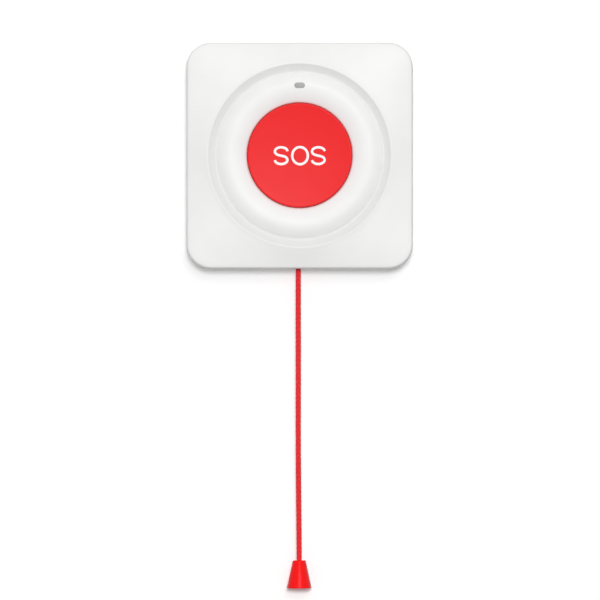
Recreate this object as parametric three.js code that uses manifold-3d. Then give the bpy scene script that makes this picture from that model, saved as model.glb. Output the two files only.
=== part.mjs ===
// Emergency pull cord alarm: a square wall unit with a red press button in a
// moulded dish, and a red cord that hangs from its underside with a pull on it.
// Millimetres, +Z up. X is to the right, the front faces -Y, and the wall is the
// plane Y = 0. The origin is the centre of the back cover's rear face.
// A depth is a distance from the wall towards the front, so Y = -depth.

import * as THREE from 'three';
import { mergeVertices } from 'three/addons/utils/BufferGeometryUtils.js';
import Module from 'manifold-3d';

const wasm = await Module();
wasm.setup();

// Gaps between pieces
const SEAT_GAP = 0.3;
const LENS_GAP = 0.15;

// Casing outline and side wall
const CASING_SIZE = 86;
const CASING_CORNER_RADIUS = 9.1;
const SIDE_DRAFT = 0.3;
const SIDE_WALL = 2.2;
const REAR_EDGE_DEPTH = 0.8;
const SIDE_TOP_DEPTH = 15;
const EDGE_FILLET = 1.2;
const SIDE_STEPS = 9;
const CORNER_STEPS = 5;

// Front face: a rim that rises from the square, a dish and a convex ring in it.
// Rises and drops are from the side wall's top for the rim, and from the rim within.
const FACE_WALL = 2;
const RIM_MARGIN = 8.15;
const RIM_RISE = 4.5;
const RIM_ROUNDING = 0.3;
const BAND_WIDTH = 2.85;
const GROOVE_WIDTH = 0.5;
const GROOVE_DROP = 1.7;
const CREST_RISE = 0.8;
const WELL_LIP_WIDTH = 0.9;
const WELL_LIP_DROP = 0.9;
const RING_STEPS = 5;

// Button and the well that it slides in
const BUTTON_RADIUS = 20;
const BUTTON_GAP = 0.4;
const BUTTON_PROUD = 0.5;
const BUTTON_DISH = 0.8;
const BUTTON_EDGE_ROUNDING = 0.5;
const BUTTON_WALL = 1.8;
const BUTTON_SKIRT_WALL = 1.6;
const BUTTON_SKIRT_HEIGHT = 4.5;
const BUTTON_TRAVEL = 1;
const BUTTON_POST_RADIUS = 2.4;
const BUTTON_SEGMENTS = 44;
const WELL_WALL = 1.6;
const HOOK_ANGLES = [90, 210, 330];
const HOOK_WIDTH = 5;
const HOOK_HEIGHT = 1.2;
const HOOK_REACH = 1.7;
const HOOK_LEG_WALL = 1.2;

// Back cover, its rebate in the front cover and the seal between them
const BACK_WALL = 2;
const REBATE_WALL = 1.2;
const SEAL_THICKNESS = 0.7;
const LOCATING_RIB_WALL = 1.4;
const LOCATING_RIB_HEIGHT = 3.5;
const LOCATING_RIB_GAP = 0.6;
const LOCATING_RIB_NOTCH = 10;
const KEYHOLE_SPACING = 60.3;
const KEYHOLE_HEAD_RADIUS = 4;
const KEYHOLE_SLOT_WIDTH = 4.4;
const KEYHOLE_DROP = 3;
const KEYHOLE_RISE = 8;

// Screws that hold the casing together
const CASING_BOSS_INSET = 8.8;
const CASING_BOSS_RADIUS = 3.6;
const CASING_BOSS_BORE_DEPTH = 10;
const CASING_SCREW_RADIUS = 1.1;
const CASING_SCREW_LENGTH = 8.6;
const CASING_SCREW_HEAD_RADIUS = 2.5;
const CASING_SCREW_HEAD_HEIGHT = 1.1;
const SCREW_PAD_HEIGHT = 1;
const BOSS_RIB_WALL = 1.2;

// Circuit board and its screws
const BOARD_THICKNESS = 1.6;
const BOARD_SIDE_MARGIN = 7;
const BOARD_END_MARGIN = 8;
const BOARD_CORNER_NOTCH = 8;
const BOARD_BOSS_SIDE_INSET = 7;
const BOARD_BOSS_LOW_Z = -14;
const BOARD_BOSS_HIGH_X = 14;
const BOARD_BOSS_END_INSET = 5;
const BOARD_BOSS_RADIUS = 2.8;
const BOARD_BOSS_BORE_DEPTH = 4;
const BOARD_SCREW_RADIUS = 0.8;
const BOARD_SCREW_LENGTH = 4.4;
const BOARD_SCREW_HEAD_RADIUS = 1.9;
const BOARD_SCREW_HEAD_HEIGHT = 1.2;

// Parts on the front of the board: an inset is from the board's edge to the part's
// centre, and a size is [x, z, depth]
const DOME_RADIUS = 5.5;
const DOME_TOP_RADIUS = 2.8;
const DOME_HEIGHT = 2.6;
const DOME_WALL = 0.6;
const LAMP_SIZE = [1.6, 1.2, 1];
const LENS_WIDTH = 3.9;
const LENS_HEIGHT = 2;
const LENS_FLANGE = 0.8;
const LENS_FLANGE_THICKNESS = 1;
const LENS_PROUD = 0.05;
const RADIO_SIZE = [12, 16, 0.8];
const SHIELD_DROP = 2;
const SHIELD_SIZE = [10, 10.5, 1.1];
const CHIP_INSET = 11;
const CHIP_Z = 6;
const CHIP_SIZE = [7, 7, 1];
const CRYSTAL_INSET = 11.5;
const CRYSTAL_Z = 14;
const CRYSTAL_SIZE = [3.2, 2.5, 0.8];
const CAPACITOR_GAP = 1.3;
const CAPACITOR_Z = 2;
const CAPACITOR_RADIUS = 3.2;
const CAPACITOR_HEIGHT = 4.2;
const SOUNDER_GAP = 0.8;
const SOUNDER_RADIUS = 5.5;
const SOUNDER_HEIGHT = 2.4;
const SOUNDER_PORT_RADIUS = 0.9;

// Coin cell behind the board
const CELL_KNOT_GAP = 3.25;
const CELL_RADIUS = 12.25;
const CELL_THICKNESS = 5;
const CELL_STEP = 0.8;
const HOLDER_WALL = 1.4;
const HOLDER_FLOOR = 1;
const HOLDER_LIP_DEPTH = 3.2;
const HOLDER_OPENING = 14;
const CONTACT_METAL = 0.35;
const CONTACT_WIDTH = 4;
const CONTACT_FOOT = 2.4;

// Cord, its outlet and the pull on its end
const CORD_X = -0.5;
const CORD_DIAMETER = 1.8;
const CORD_FREE_LENGTH = 110.4;
const CORD_SIDES = 8;
const CORD_STEPS = 32;
const CORD_HOLE_GAP = 0.4;
const BUSH_WALL = 0.9;
const BUSH_FLANGE_RADIUS = 3.4;
const BUSH_FLANGE_HEIGHT = 1.1;
const BUSH_INSET = 0.3;
const PULL_HEIGHT = 10.6;
const PULL_TOP_RADIUS = 2.4;
const PULL_BOTTOM_RADIUS = 4.65;
const PULL_TOP_ROUNDING = 0.3;
const PULL_BOTTOM_ROUNDING = 0.6;
const PULL_NECK = 4.4;
const PULL_WALL = 1.15;
const KNOT_RADIUS = 2;
const KNOT_HEIGHT = 3.3;
const KNOT_WRAPS = 3;

// Slider that the cord pulls down, its guide and return spring
const PULL_TRAVEL = 5;
const SPRING_LENGTH = 10;
const SPRING_RADIUS = 1.9;
const SPRING_WIRE = 0.5;
const SPRING_TURNS = 6;
const SLIDER_WIDTH = 8;
const SLIDER_LENGTH = 10;
const SLIDER_THICKNESS = 4.4;
const GUIDE_WALL = 1.3;
const GUIDE_BACK_WALL = 1.2;
const GUIDE_SHOULDER = 1.2;
const GUIDE_PEG_RADIUS = 0.5;
const GUIDE_PEG_INSET = 2.2;

// Side switch that the slider's ramp presses
const RAMP_SLOPE = 0.1;
const RAMP_FOOT = 2.2;
const RAMP_RELIEF = 0.8;
const SWITCH_HEIGHT_ON_SLIDER = 3.6;
const SWITCH_SIZE = [6.5, 6.4, 5.2];
const PLUNGER_HEIGHT = 1.6;
const PLUNGER_THICKNESS = 1.8;
const PLUNGER_DEPTH_IN_CASE = 1.7;

const CASING_HALF = CASING_SIZE / 2;

// Depths through the casing, from the back cover forwards
const CELL_BACK_DEPTH = BACK_WALL + SEAT_GAP;
const CELL_FRONT_DEPTH = CELL_BACK_DEPTH + CELL_THICKNESS;
const HOLDER_FLOOR_DEPTH = CELL_FRONT_DEPTH + SEAT_GAP;
const BEHIND_BOARD = HOLDER_FLOOR_DEPTH + HOLDER_FLOOR;
const BOARD_BACK_DEPTH = BEHIND_BOARD + SEAT_GAP;
const BOARD_FRONT_DEPTH = BOARD_BACK_DEPTH + BOARD_THICKNESS;
const ON_BOARD = BOARD_FRONT_DEPTH + SEAT_GAP;
const CORD_DEPTH = BACK_WALL + SEAT_GAP + GUIDE_BACK_WALL + SEAT_GAP + SLIDER_THICKNESS / 2;
const HOOK_BACK_DEPTH = ON_BOARD + BUTTON_TRAVEL;
const HOOK_FRONT_DEPTH = HOOK_BACK_DEPTH + HOOK_HEIGHT;
const WELL_BACK_DEPTH = HOOK_FRONT_DEPTH + SEAT_GAP;
const RIM_DEPTH = SIDE_TOP_DEPTH + RIM_RISE;
const GROOVE_DEPTH = RIM_DEPTH - GROOVE_DROP;
const CREST_DEPTH = RIM_DEPTH + CREST_RISE;
const WELL_LIP_DEPTH = RIM_DEPTH - WELL_LIP_DROP;
const BUTTON_EDGE_DEPTH = WELL_LIP_DEPTH + BUTTON_PROUD;
const BUTTON_SKIRT_DEPTH = BUTTON_EDGE_DEPTH - BUTTON_SKIRT_HEIGHT;

// Radii along the cord
const CORD_RADIUS = CORD_DIAMETER / 2;
const CORD_HOLE_RADIUS = CORD_RADIUS + CORD_HOLE_GAP;
const BUSH_OUTER_RADIUS = CORD_HOLE_RADIUS + BUSH_WALL;

// Radii across the dish, from the well outwards
const RIM_RADIUS = CASING_HALF - RIM_MARGIN;
const WELL_RADIUS = BUTTON_RADIUS + BUTTON_GAP;
const WELL_OUTER_RADIUS = WELL_RADIUS + WELL_WALL;
const WELL_LIP_RADIUS = WELL_RADIUS + WELL_LIP_WIDTH;
const BAND_INNER_RADIUS = RIM_RADIUS - BAND_WIDTH;
const GROOVE_RADIUS = BAND_INNER_RADIUS - GROOVE_WIDTH;
const CREST_RADIUS = (WELL_LIP_RADIUS + GROOVE_RADIUS) / 2;

// Heights of the cord mechanism, from the casing's underside upwards
const INNER_HALF = CASING_HALF - SIDE_WALL;
const FLANGE_UNDERSIDE = -INNER_HALF + SEAT_GAP;
const FLANGE_TOP = FLANGE_UNDERSIDE + BUSH_FLANGE_HEIGHT;
const SPRING_FOOT = FLANGE_TOP + SEAT_GAP;
const SLIDER_FOOT = SPRING_FOOT + SPRING_LENGTH + SEAT_GAP;
const SLIDER_TOP = SLIDER_FOOT + SLIDER_LENGTH;
const TOP_KNOT_FOOT = SLIDER_TOP + SEAT_GAP;
const PULL_TOP = -CASING_HALF - CORD_FREE_LENGTH;

// Places of the parts on the board, as [x, z]
const HOLDER_RADIUS = CELL_RADIUS + SEAT_GAP + HOLDER_WALL;
const CELL_PLACE = [0, TOP_KNOT_FOOT + KNOT_HEIGHT + CELL_KNOT_GAP + HOLDER_RADIUS];
const BOARD_SIDE = CASING_HALF - BOARD_SIDE_MARGIN;
const BOARD_END = CASING_HALF - BOARD_END_MARGIN;
const BOARD_BOSSES = [
  [BOARD_BOSS_SIDE_INSET - BOARD_SIDE, BOARD_BOSS_LOW_Z],
  [BOARD_SIDE - BOARD_BOSS_SIDE_INSET, BOARD_BOSS_LOW_Z],
  [BOARD_BOSS_HIGH_X, BOARD_END - BOARD_BOSS_END_INSET],
];
const RADIO_PLACE = [
  BOARD_CORNER_NOTCH + RADIO_SIZE[0] / 2 - BOARD_SIDE,
  BOARD_END - RADIO_SIZE[1] / 2,
];
const CHIP_PLACE = [BOARD_SIDE - CHIP_INSET, CHIP_Z];
const CRYSTAL_PLACE = [BOARD_SIDE - CRYSTAL_INSET, CRYSTAL_Z];
const CAPACITOR_PLACE = [-WELL_OUTER_RADIUS - CAPACITOR_GAP - CAPACITOR_RADIUS, CAPACITOR_Z];
const SOUNDER_PLACE = [-DOME_RADIUS - SOUNDER_GAP - SOUNDER_RADIUS, 0];

// Shapes

const millimetre = (x, z, depth) => new THREE.Vector3(x, -depth, z);

// One closed surface with shared corners and no needle faces on an axis
function closedSurface(geometry) {
  const bare = geometry.clone();
  bare.deleteAttribute('normal');
  bare.deleteAttribute('uv');
  const merged = mergeVertices(bare, 1e-4);
  const corners = merged.index.array;
  const faces = [];
  for (let i = 0; i < corners.length; i += 3) {
    const [a, b, c] = corners.slice(i, i + 3);
    if (a !== b && b !== c && c !== a) faces.push(a, b, c);
  }
  merged.setIndex(faces);
  return merged;
}

function solid(geometry) {
  const surface = closedSurface(geometry);
  return new wasm.Manifold(new wasm.Mesh({
    numProp: 3,
    vertProperties: new Float32Array(surface.attributes.position.array),
    triVerts: new Uint32Array(surface.index.array),
  }));
}

function geometryOf(manifold) {
  const mesh = manifold.getMesh();
  const geometry = new THREE.BufferGeometry();
  geometry.setAttribute('position', new THREE.BufferAttribute(mesh.vertProperties, 3));
  geometry.setIndex(new THREE.BufferAttribute(mesh.triVerts, 1));
  return geometry;
}

const join = (...pieces) => pieces.reduce((sum, piece) => sum.add(piece));
const cut = (piece, ...tools) => tools.reduce((rest, tool) => rest.subtract(tool), piece);

// A block between two values of x, of z and of depth
function block([x0, x1], [z0, z1], [back, front]) {
  const geometry = new THREE.BoxGeometry(x1 - x0, front - back, z1 - z0);
  geometry.translate((x0 + x1) / 2, -(back + front) / 2, (z0 + z1) / 2);
  return solid(geometry);
}

// A block centred on a place [x, z], standing from one depth forwards
function chip([x, z], [width, height, thickness], back) {
  const across = [x - width / 2, x + width / 2];
  const upward = [z - height / 2, z + height / 2];
  return block(across, upward, [back, back + thickness]);
}

// An outline seen from the front, given depth
function plate(shape, back, front, curveSegments = 5) {
  const geometry = new THREE.ExtrudeGeometry(shape, {
    depth: front - back,
    bevelEnabled: false,
    curveSegments,
  });
  geometry.rotateX(Math.PI / 2);
  geometry.translate(0, -back, 0);
  return solid(geometry);
}

// A profile of [radius, depth] points turned about an axis square to the wall
function turned(profile, segments, [x, z] = [0, 0]) {
  const points = profile.map(([radius, depth]) => new THREE.Vector2(radius, -depth));
  const geometry = new THREE.LatheGeometry(outwardProfile(points), segments);
  geometry.translate(x, 0, z);
  return solid(geometry);
}

// A profile of [radius, z] points turned about an upright axis
function turnedUpright(profile, segments) {
  const points = profile.map(([radius, z]) => new THREE.Vector2(radius, z));
  const geometry = new THREE.LatheGeometry(outwardProfile(points), segments);
  geometry.rotateX(Math.PI / 2);
  return solid(geometry);
}

function outwardProfile(points) {
  return THREE.ShapeUtils.area(points) > 0 ? points : [...points].reverse();
}

function rod(radius, back, front, place, segments = 20) {
  return turned([[0, back], [radius, back], [radius, front], [0, front]], segments, place);
}

function uprightRod(radius, low, high, segments = 20) {
  return turnedUpright([[0, low], [radius, low], [radius, high], [0, high]], segments);
}

function roundedSquare(half, radius) {
  const inner = half - radius;
  const shape = new THREE.Shape();
  shape.absarc(inner, inner, radius, 0, Math.PI / 2, false);
  shape.absarc(-inner, inner, radius, Math.PI / 2, Math.PI, false);
  shape.absarc(-inner, -inner, radius, Math.PI, Math.PI * 1.5, false);
  shape.absarc(inner, -inner, radius, Math.PI * 1.5, Math.PI * 2, false);
  shape.closePath();
  return shape;
}

function obround(width, height, [x, z]) {
  const radius = height / 2;
  const reach = width / 2 - radius;
  const shape = new THREE.Shape();
  shape.absarc(x + reach, z, radius, -Math.PI / 2, Math.PI / 2, false);
  shape.absarc(x - reach, z, radius, Math.PI / 2, Math.PI * 1.5, false);
  shape.closePath();
  return shape;
}

// Front cover

// The outline's corner at an inset keeps its centre, down to a small radius
function cornerRadiusAt(half) {
  return Math.max(CASING_CORNER_RADIUS - (CASING_HALF - half), 1);
}

// Directions from the centre that land evenly on the sides and on the corners
function loftAngles() {
  const straight = CASING_HALF - CASING_CORNER_RADIUS;
  const cornerStart = Math.atan2(straight, CASING_HALF);
  const cornerEnd = Math.PI / 2 - cornerStart;
  const angles = [];
  for (let side = 0; side < 4; side += 1) {
    const middle = side * Math.PI / 2;
    for (let i = 0; i < SIDE_STEPS; i += 1) {
      angles.push(middle + cornerStart * (2 * i / SIDE_STEPS - 1));
    }
    for (let i = 0; i < CORNER_STEPS; i += 1) {
      angles.push(middle + cornerStart + (cornerEnd - cornerStart) * i / CORNER_STEPS);
    }
  }
  return angles;
}

// How far out a rounded square lies in one direction
function squareReach(half, radius, angle) {
  const x = Math.abs(Math.cos(angle));
  const z = Math.abs(Math.sin(angle));
  const flat = half / Math.max(x, z);
  const inner = half - radius;
  if (Math.min(x, z) * flat <= inner) return flat;
  const along = inner * (x + z);
  return along + Math.sqrt(along * along - 2 * inner * inner + radius * radius);
}

const circle = (radius, depth) => ({ depth, reach: () => radius });
const square = (half, depth) => ({
  depth,
  reach: (angle) => squareReach(half, cornerRadiusAt(half), angle),
});

// A skin through closed rings, which ends on the ring that it started from
function ringLoft(rings) {
  const angles = loftAngles();
  const count = angles.length;
  const positions = rings.flatMap(({ depth, reach }) => angles.flatMap((angle) => {
    const radius = reach(angle);
    return millimetre(radius * Math.cos(angle), radius * Math.sin(angle), depth).toArray();
  }));
  const faces = [];
  rings.forEach((_, ring) => {
    const here = ring * count;
    const next = ((ring + 1) % rings.length) * count;
    for (let i = 0; i < count; i += 1) {
      const j = (i + 1) % count;
      faces.push(here + i, here + j, next + j);
      faces.push(here + i, next + j, next + i);
    }
  });
  const geometry = new THREE.BufferGeometry();
  geometry.setAttribute('position', new THREE.Float32BufferAttribute(positions, 3));
  geometry.setIndex(faces);
  return solid(geometry);
}

// Depth of the convex ring's outer surface, falling away on both sides of its crest
function ringDepth(radius) {
  const outside = radius > CREST_RADIUS;
  const edge = outside ? GROOVE_RADIUS : WELL_LIP_RADIUS;
  const fall = CREST_DEPTH - (outside ? GROOVE_DEPTH : WELL_LIP_DEPTH);
  const share = (radius - CREST_RADIUS) / (edge - CREST_RADIUS);
  return CREST_DEPTH - fall * share * share;
}

function ringRadii() {
  const radii = [];
  for (let i = 0; i <= 2 * RING_STEPS; i += 1) {
    const outer = i <= RING_STEPS;
    const share = outer ? i / RING_STEPS : i / RING_STEPS - 1;
    const from = outer ? GROOVE_RADIUS : CREST_RADIUS;
    const to = outer ? CREST_RADIUS : WELL_LIP_RADIUS;
    radii.push(from + (to - from) * share);
  }
  return radii;
}

const REBATE_HALF = CASING_HALF - REBATE_WALL;
const REBATE_DEPTH = BACK_WALL + SEAL_THICKNESS + 2 * SEAT_GAP;
const FACE_EDGE_ANGLE = 75 * Math.PI / 180;

function outerRings() {
  const topHalf = CASING_HALF - SIDE_DRAFT;
  const fillet = [0, FACE_EDGE_ANGLE / 3, FACE_EDGE_ANGLE * 2 / 3, FACE_EDGE_ANGLE].map((turn) => square(
    topHalf - EDGE_FILLET * (1 - Math.cos(turn)),
    SIDE_TOP_DEPTH + EDGE_FILLET * Math.sin(turn),
  ));
  const rim = [
    circle(RIM_RADIUS + RIM_ROUNDING, RIM_DEPTH - RIM_ROUNDING / 2),
    circle(RIM_RADIUS, RIM_DEPTH),
    circle(RIM_RADIUS - RIM_ROUNDING, RIM_DEPTH - RIM_ROUNDING / 2),
    circle(BAND_INNER_RADIUS, GROOVE_DEPTH + RIM_ROUNDING / 2),
  ];
  const ring = ringRadii().map((radius) => circle(radius, ringDepth(radius)));
  const lip = [
    circle(WELL_RADIUS + WELL_LIP_WIDTH / 2, WELL_LIP_DEPTH - WELL_LIP_WIDTH / 2),
    circle(WELL_RADIUS, WELL_LIP_DEPTH - 1.4 * WELL_LIP_WIDTH),
    circle(WELL_RADIUS, WELL_BACK_DEPTH),
  ];
  return [square(CASING_HALF, REAR_EDGE_DEPTH), ...fillet, ...rim, ...ring, ...lip];
}

function innerRings() {
  const crestToGroove = (GROOVE_RADIUS - CREST_RADIUS) / 2;
  const ringUnderside = [
    WELL_OUTER_RADIUS,
    (WELL_OUTER_RADIUS + CREST_RADIUS) / 2,
    CREST_RADIUS,
    CREST_RADIUS + crestToGroove,
  ];
  const insideTop = SIDE_TOP_DEPTH - FACE_WALL / 2;
  return [
    circle(WELL_OUTER_RADIUS, WELL_BACK_DEPTH),
    ...ringUnderside.map((radius) => circle(radius, ringDepth(radius) - FACE_WALL)),
    circle(GROOVE_RADIUS - FACE_WALL / 2, GROOVE_DEPTH - FACE_WALL),
    circle(BAND_INNER_RADIUS + FACE_WALL / 2, GROOVE_DEPTH - FACE_WALL),
    circle(RIM_RADIUS - RIM_ROUNDING, RIM_DEPTH - FACE_WALL),
    square(INNER_HALF - EDGE_FILLET, insideTop + EDGE_FILLET / 2),
    square(INNER_HALF, insideTop - EDGE_FILLET / 2),
    square(INNER_HALF, REBATE_DEPTH),
    square(REBATE_HALF, REBATE_DEPTH),
    square(REBATE_HALF, REAR_EDGE_DEPTH),
  ];
}

const casingCorners = [[-1, -1], [1, -1], [1, 1], [-1, 1]].map(
  ([x, z]) => [x * (CASING_HALF - CASING_BOSS_INSET), z * (CASING_HALF - CASING_BOSS_INSET)],
);
const CASING_BOSS_BACK = BACK_WALL + SCREW_PAD_HEIGHT + SEAT_GAP;
const BOSS_TOP_DEPTH = SIDE_TOP_DEPTH + FACE_WALL / 2;

// Two ribs tie each corner boss to the side walls
function bossRibs([x, z]) {
  const half = BOSS_RIB_WALL / 2;
  const toWall = (value) => [value, Math.sign(value) * (INNER_HALF + half)].sort((a, b) => a - b);
  const back = BACK_WALL + LOCATING_RIB_HEIGHT + LOCATING_RIB_GAP;
  const depths = [back, BOSS_TOP_DEPTH - FACE_WALL / 2];
  return join(
    block(toWall(x), [z - half, z + half], depths),
    block([x - half, x + half], toWall(z), depths),
  );
}

function frontCover() {
  const shell = ringLoft([...outerRings(), ...innerRings()]);
  const cornerBosses = casingCorners.map(
    (place) => rod(CASING_BOSS_RADIUS, CASING_BOSS_BACK, BOSS_TOP_DEPTH, place, 16),
  );
  const boardBosses = BOARD_BOSSES.map(
    (place) => rod(BOARD_BOSS_RADIUS, ON_BOARD, GROOVE_DEPTH - FACE_WALL / 4, place, 12),
  );
  const cornerBores = casingCorners.map((place) => rod(
    CASING_SCREW_RADIUS + SEAT_GAP,
    CASING_BOSS_BACK - SEAT_GAP,
    CASING_BOSS_BACK + CASING_BOSS_BORE_DEPTH,
    place,
    12,
  ));
  const boardBores = BOARD_BOSSES.map((place) => rod(
    BOARD_SCREW_RADIUS + SEAT_GAP / 2,
    ON_BOARD - SEAT_GAP,
    ON_BOARD + BOARD_BOSS_BORE_DEPTH,
    place,
    12,
  ));
  const lensSlot = plate(
    obround(LENS_WIDTH + 2 * LENS_GAP, LENS_HEIGHT + 2 * LENS_GAP, [0, CREST_RADIUS]),
    CREST_DEPTH - 2 * FACE_WALL,
    CREST_DEPTH + FACE_WALL,
  );
  const outlet = uprightRod(BUSH_OUTER_RADIUS + SEAT_GAP, -CASING_HALF - 1, -INNER_HALF + 1, 24)
    .translate([CORD_X, -CORD_DEPTH, 0]);
  const body = join(shell, ...cornerBosses, ...boardBosses, ...casingCorners.map(bossRibs));
  return cut(body, ...cornerBores, ...boardBores, lensSlot, outlet);
}

// Back cover, seal and casing screws

const BACK_COVER_HALF = REBATE_HALF - SEAT_GAP;
const RIB_OUTER_HALF = INNER_HALF - LOCATING_RIB_GAP;

function rimShape(outerHalf, innerHalf) {
  const shape = roundedSquare(outerHalf, cornerRadiusAt(outerHalf));
  shape.holes.push(roundedSquare(innerHalf, cornerRadiusAt(innerHalf)));
  return shape;
}

// A round hole for a screw head, with a slot above it that its shank slides up
function keyhole(x) {
  const past = 1;
  const depths = [-past, BACK_WALL + past];
  const half = KEYHOLE_SLOT_WIDTH / 2;
  const top = KEYHOLE_RISE - KEYHOLE_DROP;
  return join(
    rod(KEYHOLE_HEAD_RADIUS, ...depths, [x, -KEYHOLE_DROP], 24),
    block([x - half, x + half], [-KEYHOLE_DROP, top], depths),
    rod(half, ...depths, [x, top], 16),
  );
}

function screwHole(place) {
  const past = 1;
  const headSeat = SEAT_GAP + CASING_SCREW_HEAD_HEIGHT + SEAT_GAP;
  return join(
    rod(CASING_SCREW_HEAD_RADIUS + SEAT_GAP, -past, headSeat, place, 16),
    rod(CASING_SCREW_RADIUS + SEAT_GAP, -past, BACK_WALL + SCREW_PAD_HEIGHT + past, place, 12),
  );
}

function backCover() {
  const floor = plate(
    roundedSquare(BACK_COVER_HALF, cornerRadiusAt(BACK_COVER_HALF)),
    0,
    BACK_WALL,
  );
  const rib = plate(
    rimShape(RIB_OUTER_HALF, RIB_OUTER_HALF - LOCATING_RIB_WALL),
    BACK_WALL / 2,
    BACK_WALL + LOCATING_RIB_HEIGHT,
  );
  const pads = casingCorners.map(
    (place) => rod(CASING_BOSS_RADIUS, BACK_WALL / 2, BACK_WALL + SCREW_PAD_HEIGHT, place, 16),
  );
  const notch = block(
    [CORD_X - LOCATING_RIB_NOTCH / 2, CORD_X + LOCATING_RIB_NOTCH / 2],
    [-CASING_HALF, -RIB_OUTER_HALF + 2 * LOCATING_RIB_WALL],
    [BACK_WALL, BACK_WALL + 2 * LOCATING_RIB_HEIGHT],
  );
  return cut(
    join(floor, rib, ...pads),
    notch,
    keyhole(-KEYHOLE_SPACING / 2),
    keyhole(KEYHOLE_SPACING / 2),
    ...casingCorners.map(screwHole),
  );
}

function casingSeal() {
  const back = BACK_WALL + SEAT_GAP;
  const inner = INNER_HALF - LOCATING_RIB_GAP / 2;
  return plate(rimShape(BACK_COVER_HALF, inner), back, back + SEAL_THICKNESS, 4);
}

// A pan head screw with a cross recess, its head's rear face at depth 0
function screw(headRadius, headHeight, radius, length) {
  const rounding = headHeight / 3;
  const body = turned([
    [0, 0],
    [headRadius - rounding, 0],
    [headRadius, rounding],
    [headRadius, headHeight],
    [radius, headHeight],
    [radius, headHeight + length - radius],
    [radius / 3, headHeight + length],
    [0, headHeight + length],
  ], 12);
  const reach = headRadius * 0.55;
  const half = headRadius * 0.12;
  const depths = [-headHeight, headHeight * 0.6];
  return cut(
    body,
    block([-reach, reach], [-half, half], depths),
    block([-half, half], [-reach, reach], depths),
  );
}

// Button, dome and indicator

// The face is a shallow bowl, so its depth falls towards the middle
function buttonFaceDepth(radius) {
  const share = radius / (BUTTON_RADIUS - BUTTON_EDGE_ROUNDING);
  return BUTTON_EDGE_DEPTH - BUTTON_DISH * (1 - share * share);
}

function buttonCap() {
  const faceRadius = BUTTON_RADIUS - BUTTON_EDGE_ROUNDING;
  const face = [0, 0.25, 0.5, 0.75, 0.9, 1].map(
    (share) => [share * faceRadius, buttonFaceDepth(share * faceRadius)],
  );
  const skirtInner = BUTTON_RADIUS - BUTTON_SKIRT_WALL;
  const underside = [1, 0.75, 0.5].map(
    (share) => [share * skirtInner, buttonFaceDepth(share * skirtInner) - BUTTON_WALL],
  );
  const postFoot = ON_BOARD + DOME_HEIGHT + SEAT_GAP;
  const body = turned([
    ...face,
    [BUTTON_RADIUS, BUTTON_EDGE_DEPTH - BUTTON_EDGE_ROUNDING],
    [BUTTON_RADIUS, BUTTON_SKIRT_DEPTH],
    [skirtInner, BUTTON_SKIRT_DEPTH],
    ...underside,
    [BUTTON_POST_RADIUS, buttonFaceDepth(BUTTON_POST_RADIUS) - BUTTON_WALL],
    [BUTTON_POST_RADIUS, postFoot],
    [0, postFoot],
  ], BUTTON_SEGMENTS);
  return join(body, ...HOOK_ANGLES.map(snapHook));
}

// A leg below the skirt, with a hook that catches behind the well's wall
function snapHook(angle) {
  const half = HOOK_WIDTH / 2;
  const outside = BUTTON_RADIUS - BUTTON_GAP / 2;
  const inside = outside - HOOK_LEG_WALL;
  const intoSkirt = BUTTON_SKIRT_DEPTH + HOOK_LEG_WALL;
  const leg = block([inside, outside], [-half, half], [HOOK_BACK_DEPTH, intoSkirt]);
  const hook = block(
    [inside, outside + HOOK_REACH],
    [-half, half],
    [HOOK_BACK_DEPTH, HOOK_FRONT_DEPTH],
  );
  return join(leg, hook).rotate([0, -angle, 0]);
}

function domePad() {
  const top = ON_BOARD + DOME_HEIGHT;
  const foot = ON_BOARD + DOME_WALL;
  return turned([
    [0, top],
    [DOME_TOP_RADIUS, top],
    [DOME_TOP_RADIUS + DOME_WALL, foot + DOME_WALL],
    [DOME_RADIUS, foot],
    [DOME_RADIUS, ON_BOARD],
    [DOME_TOP_RADIUS + DOME_WALL / 2, ON_BOARD],
    [DOME_TOP_RADIUS - DOME_WALL / 2, top - 2 * DOME_WALL],
    [0, top - 2 * DOME_WALL],
  ], 28);
}

const LAMP_PLACE = [0, CREST_RADIUS];
const LAMP_FRONT_DEPTH = ON_BOARD + LAMP_SIZE[2];

function indicatorLens() {
  const flangeReach = CREST_RADIUS + LENS_HEIGHT / 2 + LENS_FLANGE;
  const flangeFront = ringDepth(flangeReach) - FACE_WALL - SEAT_GAP;
  const flange = obround(
    LENS_WIDTH + 2 * LENS_FLANGE,
    LENS_HEIGHT + 2 * LENS_FLANGE,
    LAMP_PLACE,
  );
  return join(
    plate(
      obround(LENS_WIDTH, LENS_HEIGHT, LAMP_PLACE),
      LAMP_FRONT_DEPTH + SEAT_GAP,
      CREST_DEPTH + LENS_PROUD,
    ),
    plate(flange, flangeFront - LENS_FLANGE_THICKNESS, flangeFront),
  );
}

// Circuit board and what is on it

function boardShape() {
  const x = BOARD_SIDE;
  const z = BOARD_END;
  const notch = BOARD_CORNER_NOTCH;
  const shape = new THREE.Shape();
  shape.moveTo(x, notch - z);
  shape.lineTo(x, z - notch);
  shape.absarc(x, z, notch, -Math.PI / 2, -Math.PI, true);
  shape.lineTo(notch - x, z);
  shape.absarc(-x, z, notch, 0, -Math.PI / 2, true);
  shape.lineTo(-x, notch - z);
  shape.absarc(-x, -z, notch, Math.PI / 2, 0, true);
  shape.lineTo(x - notch, -z);
  shape.absarc(x, -z, notch, Math.PI, Math.PI / 2, true);
  return shape;
}

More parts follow.
